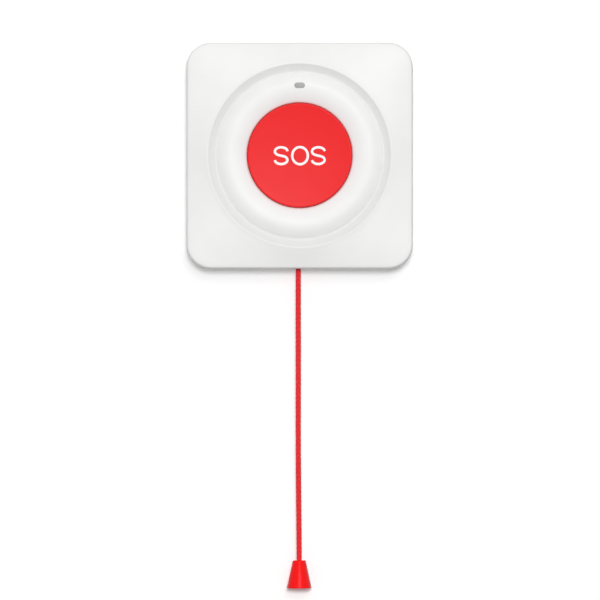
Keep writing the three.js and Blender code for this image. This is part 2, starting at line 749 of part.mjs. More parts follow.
function circuitBoard() {
  const board = plate(boardShape(), BOARD_BACK_DEPTH, BOARD_FRONT_DEPTH);
  const through = [BOARD_BACK_DEPTH - 1, BOARD_FRONT_DEPTH + 1];
  const screwHoles = BOARD_BOSSES.map(
    (place) => rod(BOARD_SCREW_RADIUS + SEAT_GAP, ...through, place, 16),
  );
  const pegHoles = guidePegs().map(
    ([x, z]) => rod(GUIDE_PEG_RADIUS + SEAT_GAP, ...through, [CORD_X + x, z], 12),
  );
  return cut(board, ...screwHoles, ...pegHoles);
}

function radioShield() {
  const [x, z] = RADIO_PLACE;
  return chip([x, z - SHIELD_DROP], SHIELD_SIZE, ON_BOARD + RADIO_SIZE[2] + SEAT_GAP);
}

function storageCapacitor() {
  const top = ON_BOARD + CAPACITOR_HEIGHT;
  const foot = ON_BOARD + CAPACITOR_HEIGHT / 4;
  const waist = CAPACITOR_RADIUS - SEAT_GAP;
  return turned([
    [0, ON_BOARD],
    [CAPACITOR_RADIUS, ON_BOARD],
    [CAPACITOR_RADIUS, foot],
    [waist, foot + SEAT_GAP],
    [CAPACITOR_RADIUS, foot + 2 * SEAT_GAP],
    [CAPACITOR_RADIUS, top - SEAT_GAP],
    [waist, top],
    [0, top],
  ], 24, CAPACITOR_PLACE);
}

function sounder() {
  const top = ON_BOARD + SOUNDER_HEIGHT;
  return turned([
    [0, ON_BOARD],
    [SOUNDER_RADIUS, ON_BOARD],
    [SOUNDER_RADIUS, top - SEAT_GAP],
    [SOUNDER_RADIUS - SEAT_GAP, top],
    [SOUNDER_PORT_RADIUS, top],
    [SOUNDER_PORT_RADIUS, top - SOUNDER_HEIGHT / 3],
    [0, top - SOUNDER_HEIGHT / 3],
  ], 24, SOUNDER_PLACE);
}

// Coin cell and its holder

function coinCell() {
  return turned([
    [0, CELL_BACK_DEPTH],
    [CELL_RADIUS, CELL_BACK_DEPTH],
    [CELL_RADIUS, CELL_FRONT_DEPTH - CELL_STEP],
    [CELL_RADIUS - CELL_STEP, CELL_FRONT_DEPTH - CELL_STEP],
    [CELL_RADIUS - CELL_STEP, CELL_FRONT_DEPTH],
    [0, CELL_FRONT_DEPTH],
  ], 36, CELL_PLACE);
}

function cellHolder() {
  const [x, z] = CELL_PLACE;
  const bowl = turned([
    [0, HOLDER_FLOOR_DEPTH],
    [CELL_RADIUS + SEAT_GAP, HOLDER_FLOOR_DEPTH],
    [CELL_RADIUS + SEAT_GAP, HOLDER_LIP_DEPTH],
    [HOLDER_RADIUS, HOLDER_LIP_DEPTH],
    [HOLDER_RADIUS, BEHIND_BOARD],
    [0, BEHIND_BOARD],
  ], 36, CELL_PLACE);
  const mouth = block(
    [x - HOLDER_OPENING / 2, x + HOLDER_OPENING / 2],
    [z, z + 2 * HOLDER_RADIUS],
    [0, HOLDER_FLOOR_DEPTH],
  );
  const half = CONTACT_WIDTH / 2 + SEAT_GAP;
  const slot = (from, to) => block([from, to], [z - half, z + half], [0, BOARD_BACK_DEPTH]);
  return cut(
    bowl,
    mouth,
    slot(x - 2 * HOLDER_RADIUS, x - CELL_RADIUS),
    slot(x - CELL_RADIUS / 2 - SEAT_GAP, x + CELL_RADIUS / 2 + SEAT_GAP),
  );
}

// An upright leaf against the cell's rim, with a foot on the board
function cellContactSide() {
  const [cellX, z] = CELL_PLACE;
  const rim = cellX - CELL_RADIUS - SEAT_GAP;
  const width = [z - CONTACT_WIDTH / 2, z + CONTACT_WIDTH / 2];
  return join(
    block([rim - CONTACT_METAL, rim], width, [HOLDER_LIP_DEPTH, BEHIND_BOARD]),
    block([rim - CONTACT_FOOT, rim], width, [BEHIND_BOARD - CONTACT_METAL, BEHIND_BOARD]),
  );
}

// A flat leaf under the cell, with a foot on the board at one end
function cellContactBase() {
  const [x, z] = CELL_PLACE;
  const width = [z - CONTACT_WIDTH / 2, z + CONTACT_WIDTH / 2];
  const reach = CELL_RADIUS / 2;
  return join(
    block([x - reach, x + reach], width, [HOLDER_FLOOR_DEPTH, HOLDER_FLOOR_DEPTH + CONTACT_METAL]),
    block([x + reach - CONTACT_FOOT, x + reach], width, [HOLDER_FLOOR_DEPTH, BEHIND_BOARD]),
  );
}

// Cord mechanism. These pieces are modelled about the cord's own line, which is
// the upright axis X = 0, Y = 0 of their group.

const PLUNGER_TRAVEL = PULL_TRAVEL * RAMP_SLOPE;
const SWITCH_Z = SLIDER_FOOT + SWITCH_HEIGHT_ON_SLIDER;
const CHANNEL_HALF = SLIDER_WIDTH / 2 + SEAT_GAP;
const GUIDE_HALF = CHANNEL_HALF + GUIDE_WALL;
const GUIDE_TOP = SLIDER_TOP + SEAT_GAP + GUIDE_SHOULDER;
const GUIDE_FOOT = SLIDER_FOOT - PULL_TRAVEL - SEAT_GAP;

// Depths in the group are measured from the cord's line
const fromCord = (depth) => depth - CORD_DEPTH;

function cordBush() {
  return turnedUpright([
    [CORD_HOLE_RADIUS, -CASING_HALF + BUSH_INSET],
    [BUSH_OUTER_RADIUS, -CASING_HALF + BUSH_INSET],
    [BUSH_OUTER_RADIUS, FLANGE_UNDERSIDE],
    [BUSH_FLANGE_RADIUS, FLANGE_UNDERSIDE],
    [BUSH_FLANGE_RADIUS, FLANGE_TOP],
    [CORD_HOLE_RADIUS, FLANGE_TOP],
    [CORD_HOLE_RADIUS, -CASING_HALF + BUSH_INSET],
  ], 20);
}

class Helix extends THREE.Curve {
  getPoint(share, target = new THREE.Vector3()) {
    const turn = share * SPRING_TURNS * 2 * Math.PI;
    const low = SPRING_FOOT + SPRING_WIRE / 2;
    return target.set(
      SPRING_RADIUS * Math.cos(turn),
      SPRING_RADIUS * Math.sin(turn),
      low + share * (SPRING_LENGTH - SPRING_WIRE),
    );
  }
}

function roundSection(radius, sides) {
  const corners = [];
  for (let i = 0; i < sides; i += 1) {
    const turn = 2 * Math.PI * i / sides;
    corners.push(new THREE.Vector2(radius * Math.cos(turn), radius * Math.sin(turn)));
  }
  return new THREE.Shape(corners);
}

function sliderSpring() {
  const geometry = new THREE.ExtrudeGeometry(roundSection(SPRING_WIRE / 2, 6), {
    steps: SPRING_TURNS * 9,
    extrudePath: new Helix(),
  });
  return solid(geometry);
}

// Half width of the slider's right side at a height above its foot
const rampReach = (height) => {
  const relief = SLIDER_WIDTH / 2 - RAMP_RELIEF;
  return relief + RAMP_SLOPE * (height - SWITCH_HEIGHT_ON_SLIDER);
};

function pullSlider() {
  const half = SLIDER_WIDTH / 2;
  const outline = new THREE.Shape([
    [-half, 0],
    [half, 0],
    [half, RAMP_FOOT],
    [rampReach(RAMP_FOOT), RAMP_FOOT],
    [rampReach(SLIDER_LENGTH), SLIDER_LENGTH],
    [-half, SLIDER_LENGTH],
  ].map(([x, z]) => new THREE.Vector2(x, SLIDER_FOOT + z)));
  const thickness = SLIDER_THICKNESS / 2;
  return cut(
    plate(outline, -thickness, thickness),
    uprightRod(CORD_HOLE_RADIUS, SLIDER_FOOT - 1, SLIDER_TOP + 1, 16),
  );
}

// Pegs on the guide's two side walls, near both ends
function guidePegs() {
  const x = CHANNEL_HALF + GUIDE_WALL / 2;
  const ends = [GUIDE_FOOT + GUIDE_PEG_INSET, GUIDE_TOP - GUIDE_PEG_INSET];
  return ends.flatMap((z) => [[-x, z], [x, z]]);
}

// A channel open towards the board, with shoulders that stop the slider at the top
function sliderGuide() {
  const back = fromCord(BACK_WALL + SEAT_GAP);
  const channelBack = -SLIDER_THICKNESS / 2 - SEAT_GAP;
  const front = fromCord(BEHIND_BOARD);
  const height = [GUIDE_FOOT, GUIDE_TOP];
  const openFront = [channelBack, front + 1];
  const channelHeight = [GUIDE_FOOT - 1, GUIDE_TOP - GUIDE_SHOULDER];
  const body = cut(
    block([-GUIDE_HALF, GUIDE_HALF], height, [back, front]),
    block([-CHANNEL_HALF, CHANNEL_HALF], channelHeight, openFront),
  );
  const knotWay = KNOT_RADIUS + SEAT_GAP;
  const knotSlot = block(
    [-knotWay, knotWay],
    [GUIDE_TOP - 2 * GUIDE_SHOULDER, GUIDE_TOP + 1],
    openFront,
  );
  const windowHalf = PLUNGER_HEIGHT / 2 + SEAT_GAP;
  const window = block(
    [0, GUIDE_HALF + 1],
    [SWITCH_Z - windowHalf, SWITCH_Z + windowHalf],
    [-PLUNGER_THICKNESS / 2 - SEAT_GAP, PLUNGER_THICKNESS / 2 + SEAT_GAP],
  );
  const pegs = guidePegs().map(
    (place) => rod(GUIDE_PEG_RADIUS, front - 1, fromCord(BOARD_FRONT_DEPTH), place, 8),
  );
  return join(cut(body, knotSlot, window), ...pegs);
}

const SWITCH_LEFT = GUIDE_HALF + SEAT_GAP;

function pullSwitchCase() {
  const [width, height, depth] = SWITCH_SIZE;
  const front = fromCord(BEHIND_BOARD);
  const body = block(
    [SWITCH_LEFT, SWITCH_LEFT + width],
    [SWITCH_Z - height / 2, SWITCH_Z + height / 2],
    [front - depth, front],
  );
  const halfHeight = PLUNGER_HEIGHT / 2 + SEAT_GAP;
  const halfDepth = PLUNGER_THICKNESS / 2 + SEAT_GAP;
  const pocketEnd = SWITCH_LEFT + PLUNGER_DEPTH_IN_CASE + PLUNGER_TRAVEL + SEAT_GAP;
  const pocket = block(
    [SWITCH_LEFT - 1, pocketEnd],
    [SWITCH_Z - halfHeight, SWITCH_Z + halfHeight],
    [-halfDepth, halfDepth],
  );
  return cut(body, pocket);
}

function pullSwitchPlunger() {
  return block(
    [rampReach(SWITCH_HEIGHT_ON_SLIDER) + SEAT_GAP, SWITCH_LEFT + PLUNGER_DEPTH_IN_CASE],
    [SWITCH_Z - PLUNGER_HEIGHT / 2, SWITCH_Z + PLUNGER_HEIGHT / 2],
    [-PLUNGER_THICKNESS / 2, PLUNGER_THICKNESS / 2],
  );
}

// The cord's route, chosen by hand: [x, z] from the slider's top to inside the pull
const cordRoute = [
  [0, SLIDER_TOP],
  [0, -24],
  [0, -30],
  [0, -36],
  [0, -43],
  [0, -50],
  [0, -58],
  [0, -66],
  [0.02, -75],
  [0.02, -84],
  [0, -93],
  [0, -102],
  [0.02, -111],
  [0.06, -119],
  [0.12, -127],
  [0.2, -135],
  [0.27, -142],
  [0.32, -148],
  [0.34, PULL_TOP],
  [0.34, PULL_TOP - PULL_NECK],
].map(([x, z]) => new THREE.Vector3(x, 0, z));
const PULL_X = 0.34;

function pullCord() {
  const geometry = new THREE.ExtrudeGeometry(roundSection(CORD_RADIUS, CORD_SIDES), {
    steps: CORD_STEPS,
    extrudePath: new THREE.CatmullRomCurve3(cordRoute),
  });
  return solid(geometry);
}

// A stopper knot: rounded wraps one above another, standing on a given height
function knot(foot) {
  const wrap = KNOT_HEIGHT / KNOT_WRAPS;
  const profile = [[0, foot]];
  for (let i = 0; i < KNOT_WRAPS; i += 1) {
    const fullness = i === (KNOT_WRAPS - 1) / 2 ? 1 : 0.93;
    for (const [share, reach] of [[0.02, 0.72], [0.2, 0.93], [0.5, 1], [0.8, 0.93]]) {
      profile.push([KNOT_RADIUS * fullness * reach, foot + wrap * (i + share)]);
    }
  }
  profile.push([KNOT_RADIUS * 0.6, foot + KNOT_HEIGHT], [0, foot + KNOT_HEIGHT]);
  return turnedUpright(profile, 10);
}

function pullEnd() {
  const foot = PULL_TOP - PULL_HEIGHT;
  const ceiling = PULL_TOP - PULL_NECK;
  const flare = (PULL_BOTTOM_RADIUS - PULL_TOP_RADIUS) / PULL_HEIGHT;
  const radiusAt = (z) => PULL_TOP_RADIUS + flare * (PULL_TOP - z);
  const rounding = PULL_BOTTOM_ROUNDING;
  return turnedUpright([
    [CORD_HOLE_RADIUS, PULL_TOP],
    [PULL_TOP_RADIUS - PULL_TOP_ROUNDING, PULL_TOP],
    [radiusAt(PULL_TOP - PULL_TOP_ROUNDING), PULL_TOP - PULL_TOP_ROUNDING],
    [radiusAt(foot + rounding), foot + rounding],
    [radiusAt(foot + rounding) - rounding * 0.25, foot + rounding * 0.25],
    [radiusAt(foot + rounding) - rounding, foot],
    [PULL_BOTTOM_RADIUS - PULL_WALL, foot],
    [radiusAt(ceiling) - PULL_WALL, ceiling],
    [CORD_HOLE_RADIUS, ceiling],
    [CORD_HOLE_RADIUS, PULL_TOP],
  ], 24);
}

// Materials
const plastic = (color, roughness = 0.45) => new THREE.MeshStandardMaterial({ color, roughness });
const metal = (color, roughness = 0.3) => new THREE.MeshStandardMaterial({
  color,
  roughness,
  metalness: 1,
});
const whiteShell = plastic(0xf4f4f3);
const redPlastic = plastic(0xee3a3a, 0.35);
const redCord = plastic(0xe8333a, 0.85);
const pullPlastic = plastic(0xf01e24, 0.3);
const greyLens = plastic(0xaeaeae, 0.3);
const silicone = plastic(0x8f9396, 0.7);
const boardLaminate = plastic(0x1f5c38, 0.5);
const blackPlastic = plastic(0x222426, 0.5);
const acetal = plastic(0xe6e2d6, 0.4);
const steel = metal(0xb9bcc0);
const cellSteel = metal(0xd0d2d4, 0.25);
const tinPlate = metal(0xc2c4c2, 0.35);
const springSteel = metal(0xa8aaad, 0.3);

function piece(name, shape, material) {
  const mesh = new THREE.Mesh(geometryOf(shape), material);
  mesh.name = name;
  return mesh;
}

const alarm = new THREE.Group();
alarm.add(
  piece('front_cover', frontCover(), whiteShell),
  piece('back_cover', backCover(), whiteShell),
  piece('casing_seal', casingSeal(), silicone),
  piece('button_cap', buttonCap(), redPlastic),
  piece('dome_pad', domePad(), silicone),
  piece('indicator_lens', indicatorLens(), greyLens),
  piece('indicator_lamp', chip(LAMP_PLACE, LAMP_SIZE, ON_BOARD), acetal),
  piece('circuit_board', circuitBoard(), boardLaminate),
  piece('radio_module', chip(RADIO_PLACE, RADIO_SIZE, ON_BOARD), boardLaminate),
  piece('radio_shield', radioShield(), tinPlate),
  piece('processor_chip', chip(CHIP_PLACE, CHIP_SIZE, ON_BOARD), blackPlastic),
  piece('crystal_can', chip(CRYSTAL_PLACE, CRYSTAL_SIZE, ON_BOARD), tinPlate),
  piece('storage_capacitor', storageCapacitor(), tinPlate),
  piece('sounder', sounder(), blackPlastic),
  piece('coin_cell', coinCell(), cellSteel),
  piece('cell_holder', cellHolder(), blackPlastic),
  piece('cell_contact_side', cellContactSide(), springSteel),
  piece('cell_contact_base', cellContactBase(), springSteel),
);

casingCorners.forEach(([x, z], index) => {
  const shape = screw(
    CASING_SCREW_HEAD_RADIUS,
    CASING_SCREW_HEAD_HEIGHT,
    CASING_SCREW_RADIUS,
    CASING_SCREW_LENGTH,
  );
  const mesh = piece(`casing_screw_${index + 1}`, shape, steel);
  mesh.position.copy(millimetre(x, z, SEAT_GAP));
  alarm.add(mesh);
});

BOARD_BOSSES.forEach(([x, z], index) => {
  const shape = screw(
    BOARD_SCREW_HEAD_RADIUS,
    BOARD_SCREW_HEAD_HEIGHT,
    BOARD_SCREW_RADIUS,
    BOARD_SCREW_LENGTH,
  );
  const mesh = piece(`board_screw_${index + 1}`, shape, steel);
  mesh.position.copy(millimetre(x, z, BEHIND_BOARD - BOARD_SCREW_HEAD_HEIGHT));
  alarm.add(mesh);
});

const cordMechanism = new THREE.Group();
cordMechanism.position.copy(millimetre(CORD_X, 0, CORD_DEPTH));
cordMechanism.add(
  piece('cord_bush', cordBush(), whiteShell),
  piece('slider_spring', sliderSpring(), springSteel),
  piece('pull_slider', pullSlider(), acetal),
  piece('slider_guide', sliderGuide(), acetal),
  piece('pull_switch_case', pullSwitchCase(), blackPlastic),
  piece('pull_switch_plunger', pullSwitchPlunger(), redPlastic),
  piece('pull_cord', pullCord(), redCord),
  piece('cord_knot_top', knot(TOP_KNOT_FOOT), redCord),
);

const pull = new THREE.Group();
pull.position.set(PULL_X, 0, 0);
pull.add(
  piece('pull_end', pullEnd(), pullPlastic),
  piece('cord_knot_end', knot(PULL_TOP - PULL_NECK - SEAT_GAP - KNOT_HEIGHT), redCord),
);
cordMechanism.add(pull);
alarm.add(cordMechanism);

export default alarm;
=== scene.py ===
import math

import bpy
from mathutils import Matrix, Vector


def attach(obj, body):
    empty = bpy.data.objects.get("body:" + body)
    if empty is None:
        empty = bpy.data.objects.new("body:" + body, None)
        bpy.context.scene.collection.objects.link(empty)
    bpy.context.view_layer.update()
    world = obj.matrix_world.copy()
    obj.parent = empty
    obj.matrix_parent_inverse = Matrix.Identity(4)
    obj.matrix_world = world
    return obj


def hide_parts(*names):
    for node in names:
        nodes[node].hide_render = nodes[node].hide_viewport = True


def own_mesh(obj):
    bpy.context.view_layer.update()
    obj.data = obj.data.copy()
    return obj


# Looks for the emergency pull cord alarm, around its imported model. Metres; X is to
# the right, the front faces -Y and the wall is the plane Y = 0. A depth is a
# distance in front of the wall, in millimetres.
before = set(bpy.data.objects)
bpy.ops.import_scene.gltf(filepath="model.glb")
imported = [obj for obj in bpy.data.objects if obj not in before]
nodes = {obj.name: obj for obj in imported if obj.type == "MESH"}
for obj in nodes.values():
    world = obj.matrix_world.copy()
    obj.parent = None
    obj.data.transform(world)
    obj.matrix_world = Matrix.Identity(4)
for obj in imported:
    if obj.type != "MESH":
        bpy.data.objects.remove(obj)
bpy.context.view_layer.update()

MM = 0.001
FULL_TURN = 2 * math.pi

# Sizes that the part's source gives, in millimetres
CASING_HALF = 43
CORNER_RADIUS = 9.1
CORD_X = -0.5
CORD_DEPTH = 6
CREST_RADIUS = 26.4
CREST_DEPTH = 20.3
BUTTON_FACE_RADIUS = 19.5
BUTTON_EDGE_DEPTH = 19.1
BUTTON_DISH = 0.8
PULL_X = 0.34
PULL_TOP = -153.4
PULL_HEIGHT = 10.6
CORD_ROUTE = [
    (0, -18.8), (0, -24), (0, -30), (0, -36), (0, -43), (0, -50), (0, -58), (0, -66),
    (0.02, -75), (0.02, -84), (0, -93), (0, -102), (0.02, -111), (0.06, -119),
    (0.12, -127), (0.2, -135), (0.27, -142), (0.32, -148), (0.34, -153.4), (0.34, -157.8),
]


# Camera, with the photograph's view: straight from the front, through a long lens.
# Its places and sizes are in metres, and the sensor's width in millimetres.

CAMERA_DISTANCE = 3
SENSOR_WIDTH = 36
FARTHEST_SEEN = 20
VIEW_WIDTH = 0.2273
VIEW_PLANE_DEPTH = 0.01
VIEW_CENTRE = (0.00015, -0.05467)

camera_data = bpy.data.cameras.new("camera")
camera_data.sensor_width = SENSOR_WIDTH
camera_data.lens = SENSOR_WIDTH * (CAMERA_DISTANCE - VIEW_PLANE_DEPTH) / VIEW_WIDTH
camera_data.clip_end = FARTHEST_SEEN
camera = bpy.data.objects.new("camera", camera_data)
camera.location = (VIEW_CENTRE[0], -CAMERA_DISTANCE, VIEW_CENTRE[1])
camera.rotation_euler = (math.pi / 2, 0, 0)
bpy.context.scene.collection.objects.link(camera)
bpy.context.scene.camera = camera


# Modelling helpers

SAME_PLACE = 1e-6       # metres: corners closer than this are one
SAME_PLANE = 1          # degrees: faces that meet flatter than this are one
SOFT_EDGE = 40          # degrees: edges that turn less than this are shaded round
MOULDED_EDGE = 35       # the same for the shell, the button and the window
ROUND_EDGE = 60         # the same for strands and letters, whose sides are few
FILLET_STEPS = 4


def place(x, z, depth):
    return Vector((x * MM, -depth * MM, z * MM))


def choose(piece):
    """Only this piece is selected and active."""
    bpy.ops.object.select_all(action="DESELECT")
    piece.select_set(True)
    bpy.context.view_layer.objects.active = piece


def join(piece, *others):
    """The other pieces become part of this one."""
    choose(piece)
    for other in others:
        other.select_set(True)
    bpy.ops.object.join()


def settle(piece):
    """The piece's place, turn and scale go into its mesh."""
    choose(piece)
    bpy.ops.object.transform_apply(location=True, rotation=True, scale=True)


def apply_modifier(piece, kind, **settings):
    choose(piece)
    modifier = piece.modifiers.new(kind.lower(), kind)
    for name, value in settings.items():
        setattr(modifier, name, value)
    bpy.ops.object.modifier_apply(modifier=modifier.name)


def smooth(piece, degrees=SOFT_EDGE):
    choose(piece)
    bpy.ops.object.shade_smooth_by_angle(angle=math.radians(degrees))


def in_edit(piece):
    choose(piece)
    bpy.ops.object.mode_set(mode="EDIT")
    bpy.ops.mesh.select_mode(type="VERT")


def out_of_edit():
    bpy.ops.object.mode_set(mode="OBJECT")


def select_faces(piece, test):
    """In edit mode, only the faces whose centre and normal pass the test are selected."""
    bpy.ops.mesh.select_mode(type="FACE")
    bpy.ops.mesh.select_all(action="DESELECT")
    bpy.ops.object.mode_set(mode="OBJECT")
    for face in piece.data.polygons:
        face.select = test(face.center, face.normal)
    bpy.ops.object.mode_set(mode="EDIT")


def close_surface(piece):
    """Doubles merged and normals outwards."""
    in_edit(piece)
    bpy.ops.mesh.select_all(action="SELECT")
    bpy.ops.mesh.remove_doubles(threshold=SAME_PLACE)
    bpy.ops.mesh.normals_make_consistent(inside=False)
    out_of_edit()


def filleted(corners):
    """Points of a line whose corners (a, b, cut) are rounded, cut back by that much."""
    points = []
    for i, (a, b, cut) in enumerate(corners):
        if not cut:
            points.append((a, b))
            continue
        here = Vector((a, b))
        before = Vector(corners[i - 1][:2])
        after = Vector(corners[(i + 1) % len(corners)][:2])
        start = here + (before - here).normalized() * cut
        end = here + (after - here).normalized() * cut
        for step in range(FILLET_STEPS + 1):
            u = step / FILLET_STEPS
            point = start * (1 - u) ** 2 + here * 2 * u * (1 - u) + end * u * u
            points.append(tuple(point))
    return points


def spun(name, profile, centre, upright, steps=64):
    """A closed profile of (radius, along) points in millimetres, swept round an axis.
    Along is height on an upright axis and depth on one that is square to the wall."""
    def at(radius, along):
        if upright:
            return centre + Vector((radius * MM, 0, along * MM))
        return centre + Vector((radius * MM, -along * MM, 0))
    if profile[0][0]:
        profile = [*profile, profile[0]]
    bpy.ops.object.select_all(action="DESELECT")
    bpy.ops.mesh.primitive_plane_add(size=MM, location=at(*profile[0]))
    piece = bpy.context.object
    piece.name = name
    settle(piece)
    in_edit(piece)
    bpy.ops.mesh.select_all(action="SELECT")
    bpy.ops.mesh.merge(type="CENTER")
    previous = at(*profile[0])
    for point in profile[1:]:
        bpy.ops.mesh.extrude_region_move(
            TRANSFORM_OT_translate={"value": at(*point) - previous})
        previous = at(*point)
    bpy.ops.mesh.select_all(action="SELECT")
    bpy.ops.mesh.spin(steps=steps, angle=FULL_TURN, center=centre,
                      axis=(0, 0, 1) if upright else (0, 1, 0))
    out_of_edit()
    close_surface(piece)
    return piece


def softened(node, edge):
    """A copy of a CAD node with its sharp edges rounded by a width in millimetres."""
    source = nodes[node]
    piece = bpy.data.objects.new(node + "_moulding", source.data.copy())
    bpy.context.scene.collection.objects.link(piece)
    in_edit(piece)
    bpy.ops.mesh.select_all(action="SELECT")
    bpy.ops.mesh.remove_doubles(threshold=SAME_PLACE)
    bpy.ops.mesh.dissolve_limited(angle_limit=math.radians(SAME_PLANE))
    out_of_edit()
    apply_modifier(piece, "BEVEL", width=edge * MM, segments=2,
                   limit_method="ANGLE", angle_limit=math.radians(SOFT_EDGE))
    smooth(piece)
    apply_modifier(piece, "WEIGHTED_NORMAL", keep_sharp=True)
    return piece


def dress(piece, body, slot, material, *replaced):
    """The piece rides on its body, takes its finish and stands for its nodes."""
    piece.data.materials.clear()
    piece.data.materials.append(material)
    for face in piece.data.polygons:
        face.material_index = 0
    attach(piece, body)
    if replaced:
        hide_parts(*replaced)
    return piece


# Materials

def linear(code):
    """An sRGB hex colour as linear red, green, blue and alpha."""
    def channel(value):
        value /= 255
        return value / 12.92 if value <= 0.04045 else ((value + 0.055) / 1.055) ** 2.4
    return (*(channel(int(code[i:i + 2], 16)) for i in (1, 3, 5)), 1)


def add(tree, kind, links=None, **settings):
    """A node with its settings; a link's value is a socket or a plain value."""
    node = tree.nodes.new(kind)
    for name, value in settings.items():
        setattr(node, name, value)
    for socket, value in (links or {}).items():
        if isinstance(value, bpy.types.NodeSocket):
            tree.links.new(value, node.inputs[socket])
        else:
            node.inputs[socket].default_value = value
    return node


def finish(name, colour, **shader_values):
    """A new material and its shader, whose sockets are set by their names."""
    material = bpy.data.materials.new(name)
    material.use_nodes = True
    tree = material.node_tree
    shader = tree.nodes["Principled BSDF"]
    shader.inputs["Base Color"].default_value = linear(colour)
    for socket, value in shader_values.items():
        shader.inputs[socket.replace("_", " ")].default_value = value
    return material, tree, shader


# Sockets of a Mix node that mixes colours
MIX_A, MIX_B, MIX_RESULT = 6, 7, 2
# Values between which most of a noise texture lies
NOISE_LOW, NOISE_HIGH = 0.3, 0.7
GRAIN_STRENGTH = 0.6
PATCH_SIZE = 9          # millimetres


def per_metre(millimetres):
    """A texture scale whose features are about this far apart."""
    return 1 / (millimetres * MM)


def grained(name, dark, light, roughness, grain, depth, spread=0.05, **values):
    """A moulded surface: cloudy colour over patches, fine grain in gloss and relief.
    The grain's size and the relief's depth are in millimetres."""
    material, tree, shader = finish(name, light, **values)
    where = add(tree, "ShaderNodeTexCoord").outputs["Object"]
    cloud = add(tree, "ShaderNodeTexNoise",
                {"Vector": where, "Scale": per_metre(PATCH_SIZE), "Detail": 3.0})
    colours = add(tree, "ShaderNodeMix", {
        "Factor": cloud.outputs["Fac"], MIX_A: linear(dark), MIX_B: linear(light),
    }, data_type="RGBA")
    tree.links.new(colours.outputs[MIX_RESULT], shader.inputs["Base Color"])
    fine = add(tree, "ShaderNodeTexNoise",
               {"Vector": where, "Scale": per_metre(grain), "Detail": 2.0})
    gloss = add(tree, "ShaderNodeMapRange", {
        "Value": fine.outputs["Fac"], "From Min": NOISE_LOW, "From Max": NOISE_HIGH,
        "To Min": roughness - spread, "To Max": roughness + spread,
    })
    tree.links.new(gloss.outputs["Result"], shader.inputs["Roughness"])
    relief = add(tree, "ShaderNodeBump",
                 {"Height": fine.outputs["Fac"], "Distance": depth * MM,
                  "Strength": GRAIN_STRENGTH})
    tree.links.new(relief.outputs["Normal"], shader.inputs["Normal"])
    return material


def with_painted_shade_ring(material, colour, inner, outer, fade):
    """The material with painted shade: a darker colour on a ring round the button's axis,
    between two radii in millimetres, that fades in and out over a width."""
    tree = material.node_tree
    shader = tree.nodes["Principled BSDF"]
    plain = shader.inputs["Base Color"].links[0].from_socket
    where = add(tree, "ShaderNodeTexCoord").outputs["Object"]
    flat = add(tree, "ShaderNodeVectorMath", {0: where, 1: (1, 0, 1)},
               operation="MULTIPLY")
    radius = add(tree, "ShaderNodeVectorMath", {0: flat.outputs["Vector"]},
                 operation="LENGTH").outputs["Value"]
    rise = add(tree, "ShaderNodeMapRange", {
        "Value": radius, "From Min": (inner - fade) * MM, "From Max": inner * MM})
    fall = add(tree, "ShaderNodeMapRange", {
        "Value": radius, "From Min": (outer + fade) * MM, "From Max": outer * MM})
    share = add(tree, "ShaderNodeMath", {
        0: rise.outputs["Result"], 1: fall.outputs["Result"]}, operation="MULTIPLY")
    mixed = add(tree, "ShaderNodeMix", {
        "Factor": share.outputs[0], MIX_A: plain, MIX_B: linear(colour),
    }, data_type="RGBA")
    tree.links.new(mixed.outputs[MIX_RESULT], shader.inputs["Base Color"])
    return material


# ABS, injection moulded in a spark-eroded tool: satin white with a fine grain, drawn
# coarser than the real 0.1 mm so that it shows
WHITE_ABS = grained("white_abs_moulded", "#EFEFEE", "#F5F5F4", 0.42, 0.35, 0.012)
# The same ABS on the front shell, with painted shade: a greyer ring is painted over the
# sunk band and the groove, for the shade that falls there
SHELL_ABS_PAINTED_BAND_SHADE = with_painted_shade_ring(
    grained("white_abs_front_shell_painted_band_shade", "#EFEFEE", "#F5F5F4", 0.42, 0.35, 0.012),
    "#E4E4E3", 31.6, 34.4, 0.5)
# ABS, moulded in a polished tool: satin red whose broad highlight is soft
RED_ABS = grained("red_abs_button", "#E8181C", "#EE1C20", 0.4, 0.3, 0.01, spread=0.04,
                  Specular_IOR_Level=0.4)
# Pad-printed ink: matt white, slightly uneven at its edges
WHITE_INK = grained("white_printed_ink", "#F6F3F3", "#FFFFFF", 0.55, 0.2, 0.004)
# Polycarbonate lens, tinted grey, with a lamp dark behind it: smooth and a little glossy
GREY_LENS = grained("grey_polycarbonate_lens", "#A4A4A4", "#AAAAAA", 0.3, 1.2, 0.002,
                    spread=0.03, Transmission_Weight=0.05)
# Polypropylene, moulded in a polished tool: bright red and glossy
RED_PP = grained("red_polypropylene_pull", "#FA0407", "#FF080C", 0.3, 1.5, 0.003,
                 spread=0.03, Specular_IOR_Level=0.25)
# Nylon bush, turned: off-white and waxy
NYLON = grained("white_nylon_bush", "#E7E5DE", "#EEECE6", 0.35, 0.5, 0.004)
# Silicone rubber, moulded: grey, matt and slightly dusty
SILICONE = grained("grey_silicone_rubber", "#83888B", "#979B9E", 0.72, 0.4, 0.01)
# Glass fibre laminate under green solder resist: glossy, with a faint weave
BOARD = grained("green_solder_resist", "#14502F", "#1E6238", 0.3, 0.8, 0.006,
                Coat_Weight=0.4, Coat_Roughness=0.15)
# Tin plate, stamped: bright grey with a cloudy gloss
TIN = grained("tin_plate_stamped", "#B8BAB9", "#CBCCCA", 0.32, 0.6, 0.003, Metallic=1.0)
# Glass-filled black plastic: dark grey with a rough grain
BLACK = grained("black_filled_nylon", "#1B1C1E", "#26282A", 0.55, 0.25, 0.012)
# Stainless steel cell can, pressed: smooth and bright
CELL_STEEL = grained("stainless_cell_can", "#C6C8CA", "#D6D8DA", 0.22, 0.4, 0.001,
                     spread=0.04, Metallic=1.0)
# Spring steel wire, drawn: grey and bright
SPRING_STEEL = grained("drawn_spring_steel", "#9C9EA2", "#B2B4B8", 0.28, 0.3, 0.002,
                       Metallic=1.0)
